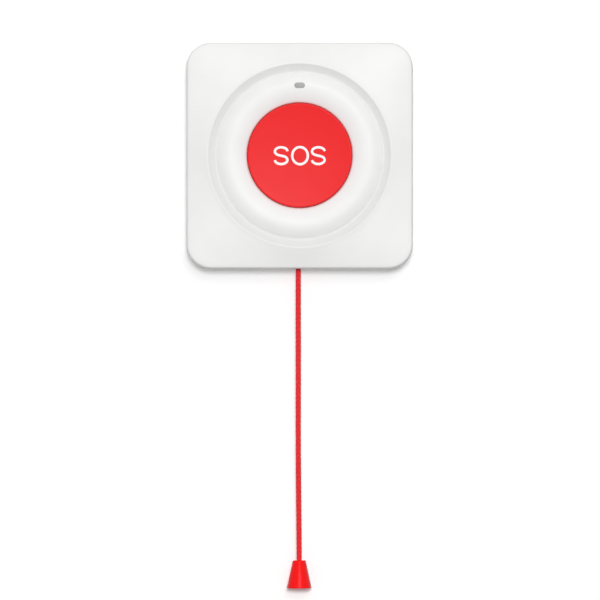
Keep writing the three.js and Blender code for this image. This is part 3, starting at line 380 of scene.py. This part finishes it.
# Acetal, machined and moulded: milky white with a slippery shine
ACETAL = grained("natural_acetal", "#E2DECF", "#ECE9DD", 0.33, 0.5, 0.003,
                 Subsurface_Weight=0.15, Subsurface_Scale=0.001)
# Zinc plated screws: pale bluish metal with a cloudy gloss
ZINC = grained("zinc_plated_steel", "#AEB2B8", "#C6C9CD", 0.3, 0.5, 0.004, Metallic=1.0)
# Diffuser of the lamp on the board: milky
LAMP = grained("milky_lamp_body", "#E4E2D8", "#F2F0E8", 0.35, 0.4, 0.002)


FIBRE_WAVE = 2.513      # scale of a wave texture that draws eight lines round a strand
FIBRE_TINT = 0.25       # how far the lines lighten the yarn
FIBRE_RELIEF = 0.04     # millimetres


def polyester_cord():
    """Dyed polyester yarn, braided: each strand shows its filaments as lines along it,
    drawn 0.35 mm apart so that they show, and has painted shade: it is painted darker in
    the braid's hollows and lighter where a strand is pushed out."""
    material, tree, shader = finish(
        "red_braided_polyester", "#F0222A", Roughness=0.6, Specular_IOR_Level=0.3,
        Sheen_Weight=0.1, Sheen_Roughness=0.4)
    along = add(tree, "ShaderNodeUVMap", uv_map="strand").outputs["UV"]
    lines = add(tree, "ShaderNodeTexWave",
                {"Vector": along, "Scale": FIBRE_WAVE, "Distortion": 0.6, "Detail": 2.0,
                 "Detail Scale": 3.0}, bands_direction="X")
    # Painted shade: the yarn is painted darker in the braid's hollows and lighter where a
    # strand is pushed out, by how far out it lies
    height = add(tree, "ShaderNodeAttribute", attribute_name="outward").outputs["Fac"]
    painted_hollow_shade = add(tree, "ShaderNodeMix", {
        "Factor": height, MIX_A: linear("#D4121C"), MIX_B: linear("#FC2C34"),
    }, data_type="RGBA")
    soft = add(tree, "ShaderNodeMath", {0: lines.outputs["Fac"], 1: FIBRE_TINT},
               operation="MULTIPLY")
    tint = add(tree, "ShaderNodeMix", {
        "Factor": soft.outputs[0], MIX_A: painted_hollow_shade.outputs[MIX_RESULT],
        MIX_B: linear("#FF5056"),
    }, data_type="RGBA")
    tree.links.new(tint.outputs[MIX_RESULT], shader.inputs["Base Color"])
    relief = add(tree, "ShaderNodeBump",
                 {"Height": lines.outputs["Fac"], "Distance": FIBRE_RELIEF * MM,
                  "Strength": 0.5})
    tree.links.new(relief.outputs["Normal"], shader.inputs["Normal"])
    return material


POLYESTER = polyester_cord()


# Cord: a round braid of eight strands, four each way round, that pass over and under

BRAID_PITCH = 14.2
STRANDS_EACH_WAY = 4
STRAND_RADIUS = 0.44
BRAID_RADIUS = 0.56
BRAID_WEAVE = 0.04
STEPS_PER_TURN = 40
STRAND_SIDES = 8
CURVE_STEPS = 40


def smooth_route(points, spacing):
    """Points at even spacing along a Catmull-Rom curve through a route."""
    ends = [points[0] * 2 - points[1], *points, points[-1] * 2 - points[-2]]
    fine = []
    for a, b, c, d in zip(ends, ends[1:], ends[2:], ends[3:]):
        for i in range(CURVE_STEPS):
            t = i / CURVE_STEPS
            fine.append(0.5 * (2 * b + (c - a) * t + (2 * a - 5 * b + 4 * c - d) * t * t
                               + (3 * b - a - 3 * c + d) * t ** 3))
    fine.append(points[-1])
    out, travelled = [fine[0]], 0.0
    for a, b in zip(fine, fine[1:]):
        step = (b - a).length
        while travelled + step >= spacing:
            a = a.lerp(b, (spacing - travelled) / step)
            out.append(a)
            step = (b - a).length
            travelled = 0.0
        travelled += step
    return out


def strand_tubes(name, lines, radius, sides):
    """Tubes along lines of (point, outward share), with a UV map along each strand."""
    vertices, faces, shares, maps = [], [], [], []
    for line in lines:
        first = len(vertices)
        run = 0.0
        side = Vector((1, 0, 0))
        for i, (point, share) in enumerate(line):
            ahead = line[min(i + 1, len(line) - 1)][0] - line[max(i - 1, 0)][0]
            ahead.normalize()
            side = (side - ahead * side.dot(ahead)).normalized()
            other = ahead.cross(side)
            for k in range(sides):
                turn = FULL_TURN * k / sides
                out = side * math.cos(turn) + other * math.sin(turn)
                vertices.append(point + out * radius)
                shares.append(share)
            if i:
                step = (point - line[i - 1][0]).length / MM
                ring, last = first + i * sides, first + (i - 1) * sides
                for k in range(sides):
                    n = (k + 1) % sides
                    faces.append((last + k, last + n, ring + n, ring + k))
                    maps.append([(k / sides, run), ((k + 1) / sides, run),
                                 ((k + 1) / sides, run + step), (k / sides, run + step)])
                run += step
        end = len(vertices) - sides
        faces.append(tuple(reversed(range(first, first + sides))))
        maps.append([(0.5, 0)] * sides)
        faces.append(tuple(range(end, end + sides)))
        maps.append([(0.5, run)] * sides)
    mesh = bpy.data.meshes.new(name)
    mesh.from_pydata([tuple(v) for v in vertices], [], faces)
    layer = mesh.uv_layers.new(name="strand")
    for face, corners in zip(mesh.polygons, maps):
        for loop, uv in zip(face.loop_indices, corners):
            layer.data[loop].uv = uv
    # How far out each corner lies, which sets the cord's painted shade
    outward = mesh.attributes.new("outward", "FLOAT", "POINT")
    outward.data.foreach_set("value", shares)
    piece = bpy.data.objects.new(name, mesh)
    bpy.context.scene.collection.objects.link(piece)
    smooth(piece, ROUND_EDGE)
    return piece


def braided(name, route):
    """Strands about a route. Where two cross, one is pushed out and one in."""
    centre = smooth_route(route, BRAID_PITCH * MM / STEPS_PER_TURN)
    apart = FULL_TURN / STRANDS_EACH_WAY
    lines = []
    for number in range(2 * STRANDS_EACH_WAY):
        hand = 1 if number < STRANDS_EACH_WAY else -1
        start = apart * (number + (0.5 if hand < 0 else 0))
        line = []
        for i, point in enumerate(centre):
            turn = FULL_TURN * i / STEPS_PER_TURN
            out = hand * math.sin(STRANDS_EACH_WAY * turn)
            angle = hand * turn + start
            reach = (BRAID_RADIUS + BRAID_WEAVE * out) * MM
            offset = Vector((math.cos(angle), math.sin(angle), 0)) * reach
            line.append((point + offset, 0.5 + 0.5 * out))
        lines.append(line)
    return strand_tubes(name, lines, STRAND_RADIUS * MM, STRAND_SIDES)


cord_route = [place(CORD_X + x, z, CORD_DEPTH) for x, z in CORD_ROUTE]
cord = braided("braided_cord", cord_route)
dress(cord, "pull", "cord_red", POLYESTER, "pull_cord")


# Pull: a cone open below, whose neck the cord goes through

PULL_PLACE = place(CORD_X + PULL_X, 0, CORD_DEPTH)
PULL_FOOT = PULL_TOP - PULL_HEIGHT
PULL_CEILING = PULL_TOP - 4.4
PULL_BORE = 1.3
pull_profile = filleted([
    (PULL_BORE, PULL_TOP, 0.25),
    (2.45, PULL_TOP, 0.25),
    (4.75, PULL_FOOT, 0.4),
    (3.45, PULL_FOOT, 0.3),
    (2.2, PULL_CEILING, 0.5),
    (PULL_BORE, PULL_CEILING, 0.15),
])
pull_end = spun("cone_pull", pull_profile, PULL_PLACE, upright=True, steps=72)
smooth(pull_end)
dress(pull_end, "pull", "pull_red", RED_PP, "pull_end")


KNOT_STEPS = 96
KNOT_SIDES = 12
KNOT_LOOP = 0.36        # a third of the trefoil's reach, in millimetres
KNOT_RISE = 0.8
KNOT_MIDDLE = 1.65
KNOT_YARN_RADIUS = 0.84
# The knots' painted shade: how light they are painted, as a share of the way out from a
# braid's hollow
KNOT_PAINTED_SHADE_SHARE = 0.6        # its colour, as a share of the way out from a braid's hollow
END_KNOT_FOOT = -161.4
TOP_KNOT_FOOT = -18.5


def stopper_knot(name, foot, centre):
    """The cord's own end, tied in a trefoil that is pulled tight into a round lump."""
    line = []
    for i in range(KNOT_STEPS + 1):
        turn = FULL_TURN * i / KNOT_STEPS
        x = math.sin(turn) + 2 * math.sin(2 * turn)
        y = math.cos(turn) - 2 * math.cos(2 * turn)
        z = -math.sin(3 * turn)
        height = foot + KNOT_MIDDLE + z * KNOT_RISE
        point = centre + Vector((x * KNOT_LOOP, y * KNOT_LOOP, height)) * MM
        line.append((point, KNOT_PAINTED_SHADE_SHARE))
    return strand_tubes(name, [line], KNOT_YARN_RADIUS * MM, KNOT_SIDES)


end_knot = stopper_knot("end_knot", END_KNOT_FOOT, PULL_PLACE)
dress(end_knot, "pull", "cord_red", POLYESTER, "cord_knot_end")
top_knot = stopper_knot("top_knot", TOP_KNOT_FOOT, place(CORD_X, 0, CORD_DEPTH))
dress(top_knot, "pull", "cord_red", POLYESTER, "cord_knot_top")


# Front shell: the casing's square outline, extruded ring by ring over its edge,
# blended into the round rim, and on through the dish, the ring and the well. Rings
# are given as half a width or a radius, and a depth, in millimetres.

SAME_RING = 1e-5                        # metres off a ring's depth, at most
SIDE_CUTS = 30
CORNER_SEGMENTS = 8
FOOT_DEPTH = 0.8
SIDE_TOP = (42.72, 14.6)
EDGE_ARC = ((41.5, 15), 1.2, 0, 70, 6)  # centre, radius, angles and steps
RIM_START = (35.45, 19.22)
FACE_RINGS = 10
INSIDE_HALF = 41.8
INSIDE_SQUARES = ((41.8, 3.3), (40.8, 3.3), (40.8, 13.4), (39.6, 14.6))
INSIDE_RIM = (34.55, 17.5)
INSIDE_RINGS = 4
WELL_FOOT = 13.3
INSIDE_CIRCLES = ((33, 15.8), (30.5, 15.8), (28.95, 17.6), (26.4, 18.3), (24.2, 17.9),
                  (22, 16.8), (22, WELL_FOOT))


def square_outline(name, half, depth):
    """The casing's rounded square as a ring of edges."""
    bpy.ops.object.select_all(action="DESELECT")
    bpy.ops.mesh.primitive_plane_add(
        size=2 * half * MM, location=(0, -depth * MM, 0), rotation=(math.pi / 2, 0, 0))
    piece = bpy.context.object
    piece.name = name
    settle(piece)
    in_edit(piece)
    bpy.ops.mesh.select_all(action="SELECT")
    bpy.ops.mesh.bevel(offset=CORNER_RADIUS * MM, segments=CORNER_SEGMENTS,
                       affect="VERTICES", profile=0.5)
    bpy.ops.mesh.delete(type="ONLY_FACE")
    out_of_edit()
    for vertex in piece.data.vertices:
        vertex.select = False
    for edge in piece.data.edges:
        a, b = (piece.data.vertices[i] for i in edge.vertices)
        edge.select = (a.co - b.co).length > half * MM
        if edge.select:
            a.select = b.select = True
    in_edit(piece)
    bpy.ops.mesh.select_mode(type="EDGE")
    bpy.ops.mesh.subdivide(number_cuts=SIDE_CUTS)
    bpy.ops.mesh.select_all(action="SELECT")
    return piece


class RingWalk:
    """Extrudes the selected ring of a piece that is in edit mode."""

    def __init__(self, half, depth, mean):
        self.half, self.depth, self.mean = half, depth, mean

    def step(self, depth):
        bpy.ops.mesh.extrude_region_move(
            TRANSFORM_OT_translate={"value": (0, -(depth - self.depth) * MM, 0)})
        self.depth = depth

    def scale(self, factor):
        bpy.ops.transform.resize(value=(factor, 1, factor),
                                 center_override=(0, -self.depth * MM, 0))

    def square(self, half, depth):
        """The next ring is the same square, larger or smaller."""
        self.step(depth)
        self.scale(half / self.half)
        self.mean *= half / self.half
        self.half = half

    def blend(self, share, before, radius, depth):
        """The next ring lies at a share of the way from the square to a circle."""
        keep = (1 - share) / (1 - before)
        gain = (share - keep * before) * radius / self.mean
        self.step(depth)
        bpy.ops.transform.tosphere(value=gain / (keep + gain))
        self.scale(keep + gain)
        self.mean *= keep + gain
        self.half = self.mean

    def circle(self, radius, depth):
        """The next ring is a circle."""
        self.step(depth)
        self.scale(radius / self.half)
        self.half = self.mean = radius


def mean_reach(piece):
    """How far the selected ring's corners lie from the middle, on average, in mm."""
    out_of_edit()
    reach = [math.hypot(v.co.x, v.co.z) / MM for v in piece.data.vertices if v.select]
    bpy.ops.object.mode_set(mode="EDIT")
    return sum(reach) / len(reach)


def arc(centre, radius, start, end, steps):
    """Points (outward, forward) of an arc between two angles in degrees."""
    turns = [math.radians(start + (end - start) * i / steps) for i in range(steps + 1)]
    return [(centre[0] + radius * math.cos(t), centre[1] + radius * math.sin(t))
            for t in turns]


def crest_depth(radius):
    """Depth of the convex ring, falling away on both sides of its crest."""
    edge, fall = (31.5, 2.5) if radius > CREST_RADIUS else (21.3, 1.4)
    share = (radius - CREST_RADIUS) / (edge - CREST_RADIUS)
    return CREST_DEPTH - fall * share * share


def select_ring(piece, test):
    """In edit mode, the open edges whose corners pass the test are selected."""
    out_of_edit()
    faces_on = {}
    for face in piece.data.polygons:
        for key in face.edge_keys:
            faces_on[key] = faces_on.get(key, 0) + 1
    for face in piece.data.polygons:
        face.select = False
    for vertex in piece.data.vertices:
        vertex.select = False
    for edge in piece.data.edges:
        ends = [piece.data.vertices[i] for i in edge.vertices]
        edge.select = faces_on.get(edge.key) == 1 and all(test(end.co) for end in ends)
        if edge.select:
            for end in ends:
                end.select = True
    bpy.ops.object.mode_set(mode="EDIT")
    bpy.ops.mesh.select_mode(type="EDGE")


def to_rim(walk, shell, radius, depth, steps):
    """Rings that turn from the square into a circle."""
    before, start = 0, walk.depth
    for i in range(1, steps):
        walk.blend(i / steps, before, radius, start + (depth - start) * i / steps)
        before = i / steps
    walk.step(depth)
    bpy.ops.transform.tosphere(value=1)
    walk.half = walk.mean = mean_reach(shell)
    walk.scale(radius / walk.half)
    walk.half = walk.mean = radius


def front_shell():
    """Outer and inner skin, joined at the casing's foot and at the foot of the well."""
    outer = square_outline("front_shell", CASING_HALF, FOOT_DEPTH)
    walk = RingWalk(CASING_HALF, FOOT_DEPTH, mean_reach(outer))
    walk.square(*SIDE_TOP)
    for half, depth in arc(*EDGE_ARC):
        walk.square(half, depth)
    to_rim(walk, outer, *RIM_START, FACE_RINGS)
    for radius, depth in dish_profile():
        walk.circle(radius, depth)
    out_of_edit()
    inner = square_outline("shell_inside", INSIDE_HALF, FOOT_DEPTH)
    walk = RingWalk(INSIDE_HALF, FOOT_DEPTH, mean_reach(inner))
    for half, depth in INSIDE_SQUARES:
        walk.square(half, depth)
    to_rim(walk, inner, *INSIDE_RIM, INSIDE_RINGS)
    for radius, depth in INSIDE_CIRCLES:
        walk.circle(radius, depth)
    bpy.ops.mesh.select_all(action="SELECT")
    bpy.ops.mesh.flip_normals()
    out_of_edit()
    join(outer, inner)
    in_edit(outer)
    for depth in (FOOT_DEPTH, WELL_FOOT):
        select_ring(outer, lambda co: abs(co.y + depth * MM) < SAME_RING)
        bpy.ops.mesh.bridge_edge_loops()
    out_of_edit()
    close_surface(outer)
    return outer


def dish_profile():
    """Circles from the rim inwards: band, groove, convex ring, lip and well."""
    rim = [(35.15, 19.36), (34.95, 19.45), (34.8, 19.46), (34.62, 19.42), (34.45, 19.3)]
    band = [(34, 19.01), (33.2, 18.5), (32.4, 17.98), (32.1, 17.8)]
    groove = [(31.9, 17.68), (31.7, 17.62), (31.5, 17.68), (31.3, 17.88)]
    ring = [(r, crest_depth(r)) for r in
            (31, 30.5, 30, 29.3, 28.6, 27.9, 27.2, 26.7, 26.4, 26, 25.3, 24.6, 23.8,
             23.1, 22.4, 21.9, 21.5)]
    lip = [(21.1, 18.8), (20.8, 18.62), (20.5, 18.45), (20.2, 18.2), (20, 17.9),
           (19.9, 17.5), (19.9, 15.3), (19.9, WELL_FOOT)]
    return rim + band + groove + ring + lip


def obround_block(name, width, height, centre, back, front):
    """A block with round ends, from one depth to another."""
    bpy.ops.object.select_all(action="DESELECT")
    bpy.ops.mesh.primitive_circle_add(
        vertices=48, radius=height / 2 * MM, fill_type="NGON",
        location=place(*centre, back), rotation=(math.pi / 2, 0, 0))
    piece = bpy.context.object
    piece.name = name
    settle(piece)
    reach = (width - height) / 2 * MM
    for vertex in piece.data.vertices:
        vertex.co.x += math.copysign(reach, vertex.co.x) if abs(vertex.co.x) > 1e-7 else 0
    in_edit(piece)
    bpy.ops.mesh.select_all(action="SELECT")
    bpy.ops.mesh.extrude_region_move(
        TRANSFORM_OT_translate={"value": (0, -(front - back) * MM, 0)})
    out_of_edit()
    close_surface(piece)
    return piece


def cut_out(piece, cutter):
    """The cutter is taken away from the piece and then deleted."""
    apply_modifier(piece, "BOOLEAN", operation="DIFFERENCE", object=cutter, solver="EXACT")
    bpy.data.objects.remove(cutter)


LENS_WIDTH = 3.88
LENS_HEIGHT = 1.98
LENS_PLAY = 0.1
LENS_PLACE = (0, CREST_RADIUS)
SLOT_DEPTHS = (14, 24)
OUTLET_RADIUS = 2.5
OUTLET_LENGTH = 6
OUTLET_Z = -42

shell = front_shell()
cut_out(shell, obround_block("lens_slot", LENS_WIDTH + LENS_PLAY, LENS_HEIGHT + LENS_PLAY,
                             LENS_PLACE, *SLOT_DEPTHS))
bpy.ops.object.select_all(action="DESELECT")
bpy.ops.mesh.primitive_cylinder_add(
    vertices=48, radius=OUTLET_RADIUS * MM, depth=OUTLET_LENGTH * MM,
    location=place(CORD_X, OUTLET_Z, CORD_DEPTH))
outlet = bpy.context.object
settle(outlet)
cut_out(shell, outlet)
smooth(shell, MOULDED_EDGE)
dress(shell, "casing", "white_shell", SHELL_ABS_PAINTED_BAND_SHADE, "front_cover")


# Button: a shallow bowl with a skirt, a post and three snap hooks. Its edge and the
# well's wall lie so close that the gap is as fine as in the photograph.

BUTTON_RINGS = 12
BUTTON_RING_REACH = 19.05
BUTTON_EDGE_ARC = ((19.25, 18.6), 0.5, 84, 0, 6)    # as for the shell's edge
SKIRT_FOOT = 14.6
POST_FOOT = 13.7
HOOK_PLACE = (0, 19.1, 13.8)
HOOK_SIZE = (5, 4, 1.2)
HOOK_BARB_DEPTH = 13
HOOK_BARB = 1.7
HOOK_EDGE = 0.15
HOOK_ANGLES = (90, 210, 330)


def button_depth(radius):
    """Depth of the button's face, which is hollow in the middle."""
    share = radius / BUTTON_FACE_RADIUS
    return BUTTON_EDGE_DEPTH - BUTTON_DISH * (1 - share * share)


reaches = [BUTTON_RING_REACH * i / BUTTON_RINGS for i in range(BUTTON_RINGS + 1)]
face = [(reach, button_depth(reach)) for reach in reaches]
edge = arc(*BUTTON_EDGE_ARC)
under = filleted([
    (19.75, SKIRT_FOOT, 0.2), (18.4, SKIRT_FOOT, 0.2), (18.4, 17.2, 0.6),
    (9.2, 16.7, 0), (2.4, 16.5, 0.3), (2.4, POST_FOOT, 0.3),
])
button = spun("press_button", [*face, *edge, *under, (0, POST_FOOT)],
              place(0, 0, 0), upright=False, steps=120)


def snap_hook(angle):
    """A leg below the skirt, whose end reaches behind the well's wall."""
    bpy.ops.object.select_all(action="DESELECT")
    bpy.ops.mesh.primitive_cube_add(size=MM, location=place(*HOOK_PLACE),
                                    scale=HOOK_SIZE)
    hook = bpy.context.object
    settle(hook)
    in_edit(hook)
    bpy.ops.mesh.select_all(action="SELECT")
    barb = -HOOK_BARB_DEPTH * MM
    bpy.ops.mesh.bisect(plane_co=(0, barb, 0), plane_no=(0, 1, 0))
    select_faces(hook, lambda centre, normal: normal.z > 0.9 and centre.y > barb)
    bpy.ops.mesh.extrude_region_move(
        TRANSFORM_OT_translate={"value": (0, 0, HOOK_BARB * MM)})
    out_of_edit()
    apply_modifier(hook, "BEVEL", width=HOOK_EDGE * MM, segments=2)
    hook.rotation_euler = (0, math.radians(90 - angle), 0)
    settle(hook)
    return hook


hooks = [snap_hook(angle) for angle in HOOK_ANGLES]
join(button, *hooks)
smooth(button, MOULDED_EDGE)
dress(button, "button", "button_red", RED_ABS, "button_cap")


# Button label: the distress call's three letters, printed on the button's face in
# one even stroke, with letterforms of their own

LETTER_STROKE = 0.9
INK_THICKNESS = 0.03
S_BOWL = (2.42, 1.58)
S_BOWL_HEIGHT = 1.62
S_ANGLES = (4, 22, 42, 65, 90, 115, 140, 165, 190, 214, 238)
O_REACH = (2.98, 3.27)
O_POINTS = 24


def s_stroke():
    """Centre line of an S: an upper bowl, a sloping spine and a lower bowl."""
    upper = [(S_BOWL[0] * math.cos(t), S_BOWL_HEIGHT + S_BOWL[1] * math.sin(t))
             for t in map(math.radians, S_ANGLES)]
    return upper + [(0, 0)] + [(-x, -z) for x, z in reversed(upper)]


def letter(name, centre, points, closed):
    """A flat ribbon along a centre line, laid on the button's face."""
    data = bpy.data.curves.new(name, "CURVE")
    data.dimensions = "3D"
    data.twist_mode = "Z_UP"
    data.extrude = LETTER_STROKE / 2 * MM
    data.bevel_depth = INK_THICKNESS / 2 * MM
    data.bevel_resolution = 1
    data.resolution_u = 6
    spline = data.splines.new("NURBS")
    spline.points.add(len(points) - 1)
    spline.order_u = 3
    spline.use_cyclic_u = closed
    spline.use_endpoint_u = not closed
    for point, (x, z) in zip(spline.points, points):
        point.co = ((centre[0] + x) * MM, (centre[1] + z) * MM, 0, 1)
        point.tilt = math.pi / 2
    made = bpy.data.objects.new(name, data)
    bpy.context.scene.collection.objects.link(made)
    choose(made)
    bpy.ops.object.convert(target="MESH")
    made = bpy.context.object
    made.rotation_euler = (math.pi / 2, 0, 0)
    settle(made)
    for vertex in made.data.vertices:
        radius = math.hypot(vertex.co.x, vertex.co.z) / MM
        vertex.co.y -= (button_depth(radius) + INK_THICKNESS / 3) * MM
    return made


turns = [FULL_TURN * i / O_POINTS for i in range(O_POINTS)]
o_line = [(O_REACH[0] * math.cos(turn), O_REACH[1] * math.sin(turn)) for turn in turns]
letters = [
    letter("label_s_left", (-6.96, -0.15), s_stroke(), False),
    letter("label_o", (0.16, -0.15), o_line, True),
    letter("label_s_right", (7.07, -0.15), s_stroke(), False),
]
join(*letters)
label = letters[0]
label.name = "button_label"
smooth(label, ROUND_EDGE)
dress(label, "button", "button_red", WHITE_INK)


# Indicator window: its flange inside, and a front whose edge is rounded

LENS_EDGE = 0.12
LENS_DEPTHS = (12.1, 20.33)
FLANGE_SIZE = (5.5, 3.6)
FLANGE_DEPTHS = (14.8, 15.8)

lens = obround_block("indicator_window", *FLANGE_SIZE, LENS_PLACE, *FLANGE_DEPTHS)
lens_front = obround_block("lens_front", LENS_WIDTH, LENS_HEIGHT, LENS_PLACE, *LENS_DEPTHS)
in_edit(lens_front)
select_faces(lens_front, lambda centre, normal: normal.y < -0.9)
bpy.ops.mesh.bevel(offset=LENS_EDGE * MM, segments=3, affect="EDGES")
out_of_edit()
join(lens, lens_front)
smooth(lens, MOULDED_EDGE)
dress(lens, "casing", "lens_grey", GREY_LENS, "indicator_lens")


# Dome under the button, and the slider's spring

DOME_FOOT = 10.8
DOME_TOP = 13.4
DOME_HOLLOW = 12.2
dome_profile = [(0, DOME_TOP), *filleted([
    (2.8, DOME_TOP, 0.4), (3.4, 12, 0.5), (5.5, 11.4, 0.25), (5.5, DOME_FOOT, 0.1),
    (3.1, DOME_FOOT, 0.1), (2.2, DOME_HOLLOW, 0.3),
]), (0, DOME_HOLLOW)]
dome = spun("rubber_dome", dome_profile, place(0, 0, 0), upright=False, steps=48)
smooth(dome)
dress(dome, "casing", "seal_silicone", SILICONE, "dome_pad")
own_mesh(dome)

SPRING_FOOT = -39.1
SPRING_START = 0.27
SPRING_RISE = 9.46
SPRING_RADIUS = 1.9
SPRING_WIRE_RADIUS = 0.24
SPRING_TURNS = 6
SPRING_TURN_STEPS = 32
SPRING_SIDES = 10
spring_line = []
spring_steps = SPRING_TURNS * SPRING_TURN_STEPS
for i in range(spring_steps + 1):
    turn = FULL_TURN * i / SPRING_TURN_STEPS
    height = SPRING_FOOT + SPRING_START + SPRING_RISE * i / spring_steps
    spring_line.append((place(CORD_X + SPRING_RADIUS * math.cos(turn), height,
                              CORD_DEPTH - SPRING_RADIUS * math.sin(turn)), 0.5))
spring = strand_tubes("return_spring", [spring_line], SPRING_WIRE_RADIUS * MM, SPRING_SIDES)
dress(spring, "casing", "spring_steel", SPRING_STEEL, "slider_spring")
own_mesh(spring)


# Bush that the cord runs through, with a rounded mouth

BUSH_BORE = 1.3
BUSH_FOOT, BUSH_STEP, BUSH_TOP = -42.7, -40.5, -39.4
bush_profile = filleted([
    (BUSH_BORE, BUSH_FOOT, 0.35), (2.2, BUSH_FOOT, 0.2), (2.2, BUSH_STEP, 0.1),
    (3.4, BUSH_STEP, 0.15), (3.4, BUSH_TOP, 0.25), (BUSH_BORE, BUSH_TOP, 0.35),
])
bush = spun("cord_outlet_bush", bush_profile, place(CORD_X, 0, CORD_DEPTH), upright=True)
smooth(bush)
dress(bush, "casing", "bush_plastic", NYLON, "cord_bush")


# Parts whose CAD shape is right, with rounded edges: their body, slot, finish and the
# rounding's width in millimetres

SOFTENED = {
    "back_cover": ("casing", "white_shell", WHITE_ABS, 0.3),
    "pull_slider": ("pull", "natural_acetal", ACETAL, 0.15),
    "slider_guide": ("casing", "natural_acetal", ACETAL, 0.12),
    "cell_holder": ("casing", "black_plastic", BLACK, 0.12),
    "pull_switch_case": ("casing", "black_plastic", BLACK, 0.15),
    "pull_switch_plunger": ("switch_plunger", "plunger_red", RED_ABS, 0.12),
    "radio_shield": ("casing", "tin_plate", TIN, 0.15),
    "coin_cell": ("casing", "cell_steel", CELL_STEEL, 0.15),
}
for number in (1, 2, 3, 4):
    SOFTENED[f"casing_screw_{number}"] = ("casing", "screw_steel", ZINC, 0.08)
for number in (1, 2, 3):
    SOFTENED[f"board_screw_{number}"] = ("casing", "screw_steel", ZINC, 0.06)
for node, (body, slot, material, width) in SOFTENED.items():
    dress(softened(node, width), body, slot, material, node)

NODE_FINISHES = {
    "casing_seal": SILICONE,
    "indicator_lamp": LAMP,
    "circuit_board": BOARD,
    "radio_module": BOARD,
    "processor_chip": BLACK,
    "crystal_can": TIN,
    "storage_capacitor": TIN,
    "sounder": BLACK,
    "cell_contact_side": SPRING_STEEL,
    "cell_contact_base": SPRING_STEEL,
}
for name, material in NODE_FINISHES.items():
    for slot in nodes[name].material_slots:
        slot.material = material


# Wall behind the object. It keeps the object's shadow, is clear from behind, and
# is bright enough to camera rays to be the photograph's white.

WALL_DEPTH = -0.5
WALL_SIZE = 6           # metres
WALL_GLOW = 0.06

bpy.ops.object.select_all(action="DESELECT")
bpy.ops.mesh.primitive_plane_add(size=WALL_SIZE, location=place(0, 0, WALL_DEPTH),
                                 rotation=(math.pi / 2, 0, 0))
wall = bpy.context.object
wall.name = "backdrop_wall"
settle(wall)
for ray in ("diffuse", "glossy", "transmission", "shadow"):
    setattr(wall, "visible_" + ray, False)
wall_paint = bpy.data.materials.new("matt_white_wall_paint")
wall_paint.use_nodes = True
tree = wall_paint.node_tree
tree.nodes.clear()
path = add(tree, "ShaderNodeLightPath")
glow = add(tree, "ShaderNodeMath", {0: path.outputs["Is Camera Ray"], 1: WALL_GLOW},
           operation="MULTIPLY")
lit = add(tree, "ShaderNodeBsdfDiffuse", {"Color": linear("#FFFFFF")})
bright = add(tree, "ShaderNodeEmission", {"Strength": glow.outputs[0]})
both = add(tree, "ShaderNodeAddShader", {0: lit.outputs[0], 1: bright.outputs[0]})
clear = add(tree, "ShaderNodeBsdfTransparent")
rear = add(tree, "ShaderNodeNewGeometry")
sided = add(tree, "ShaderNodeMixShader", {
    0: rear.outputs["Backfacing"], 1: both.outputs[0], 2: clear.outputs[0]})
add(tree, "ShaderNodeOutputMaterial", {"Surface": sided.outputs[0]})
wall.data.materials.append(wall_paint)


# World and lamps: a white surround to the camera and in reflections, soft light from
# all round that is stronger from above, a key close above the camera that casts the
# narrow shadow, a large soft lamp from the upper right, and a lamp behind. Lamps are
# given in metres and watts.

AMBIENT = 0.28
AMBIENT_LEAN = 0.1

world = bpy.data.worlds.new("studio")
bpy.context.scene.world = world
world.use_nodes = True
tree = world.node_tree
tree.nodes.clear()
path = add(tree, "ShaderNodeLightPath")
seen = add(tree, "ShaderNodeMath", {
    0: path.outputs["Is Camera Ray"], 1: path.outputs["Is Glossy Ray"]},
    operation="MAXIMUM")
seen = add(tree, "ShaderNodeMath", {
    0: seen.outputs[0], 1: path.outputs["Is Transmission Ray"]}, operation="MAXIMUM")
ray = add(tree, "ShaderNodeTexCoord")
height = add(tree, "ShaderNodeSeparateXYZ", {"Vector": ray.outputs["Generated"]})
lean = add(tree, "ShaderNodeMapRange", {
    "Value": height.outputs["Z"], "From Min": -1.0, "From Max": 1.0,
    "To Min": AMBIENT - AMBIENT_LEAN, "To Max": AMBIENT + AMBIENT_LEAN})
level = add(tree, "ShaderNodeMapRange", {
    "Value": seen.outputs[0], "To Min": lean.outputs["Result"], "To Max": 1.0})
sky = add(tree, "ShaderNodeBackground", {
    "Color": linear("#FFFFFF"), "Strength": level.outputs["Result"]})
add(tree, "ShaderNodeOutputWorld", {"Surface": sky.outputs[0]})


def lamp(name, position, size, power, shines=True):
    """A square soft lamp that faces the casing's middle. Glossy surfaces show it only
    if it shines."""
    data = bpy.data.lights.new(name, "AREA")
    data.size = size
    data.energy = power
    made = bpy.data.objects.new(name, data)
    made.location = position
    made.rotation_euler = (-Vector(position)).to_track_quat("-Z", "Y").to_euler()
    made.visible_glossy = shines
    bpy.context.scene.collection.objects.link(made)


lamp("key", (0.02, -2.6, 0.22), 0.38, 38, shines=False)
lamp("upper right", (0.28, -2.4, 0.62), 0.7, 10)
lamp("behind", (-0.7, 2.2, 0.9), 1.4, 26)

bpy.context.scene.view_settings.view_transform = "Standard"
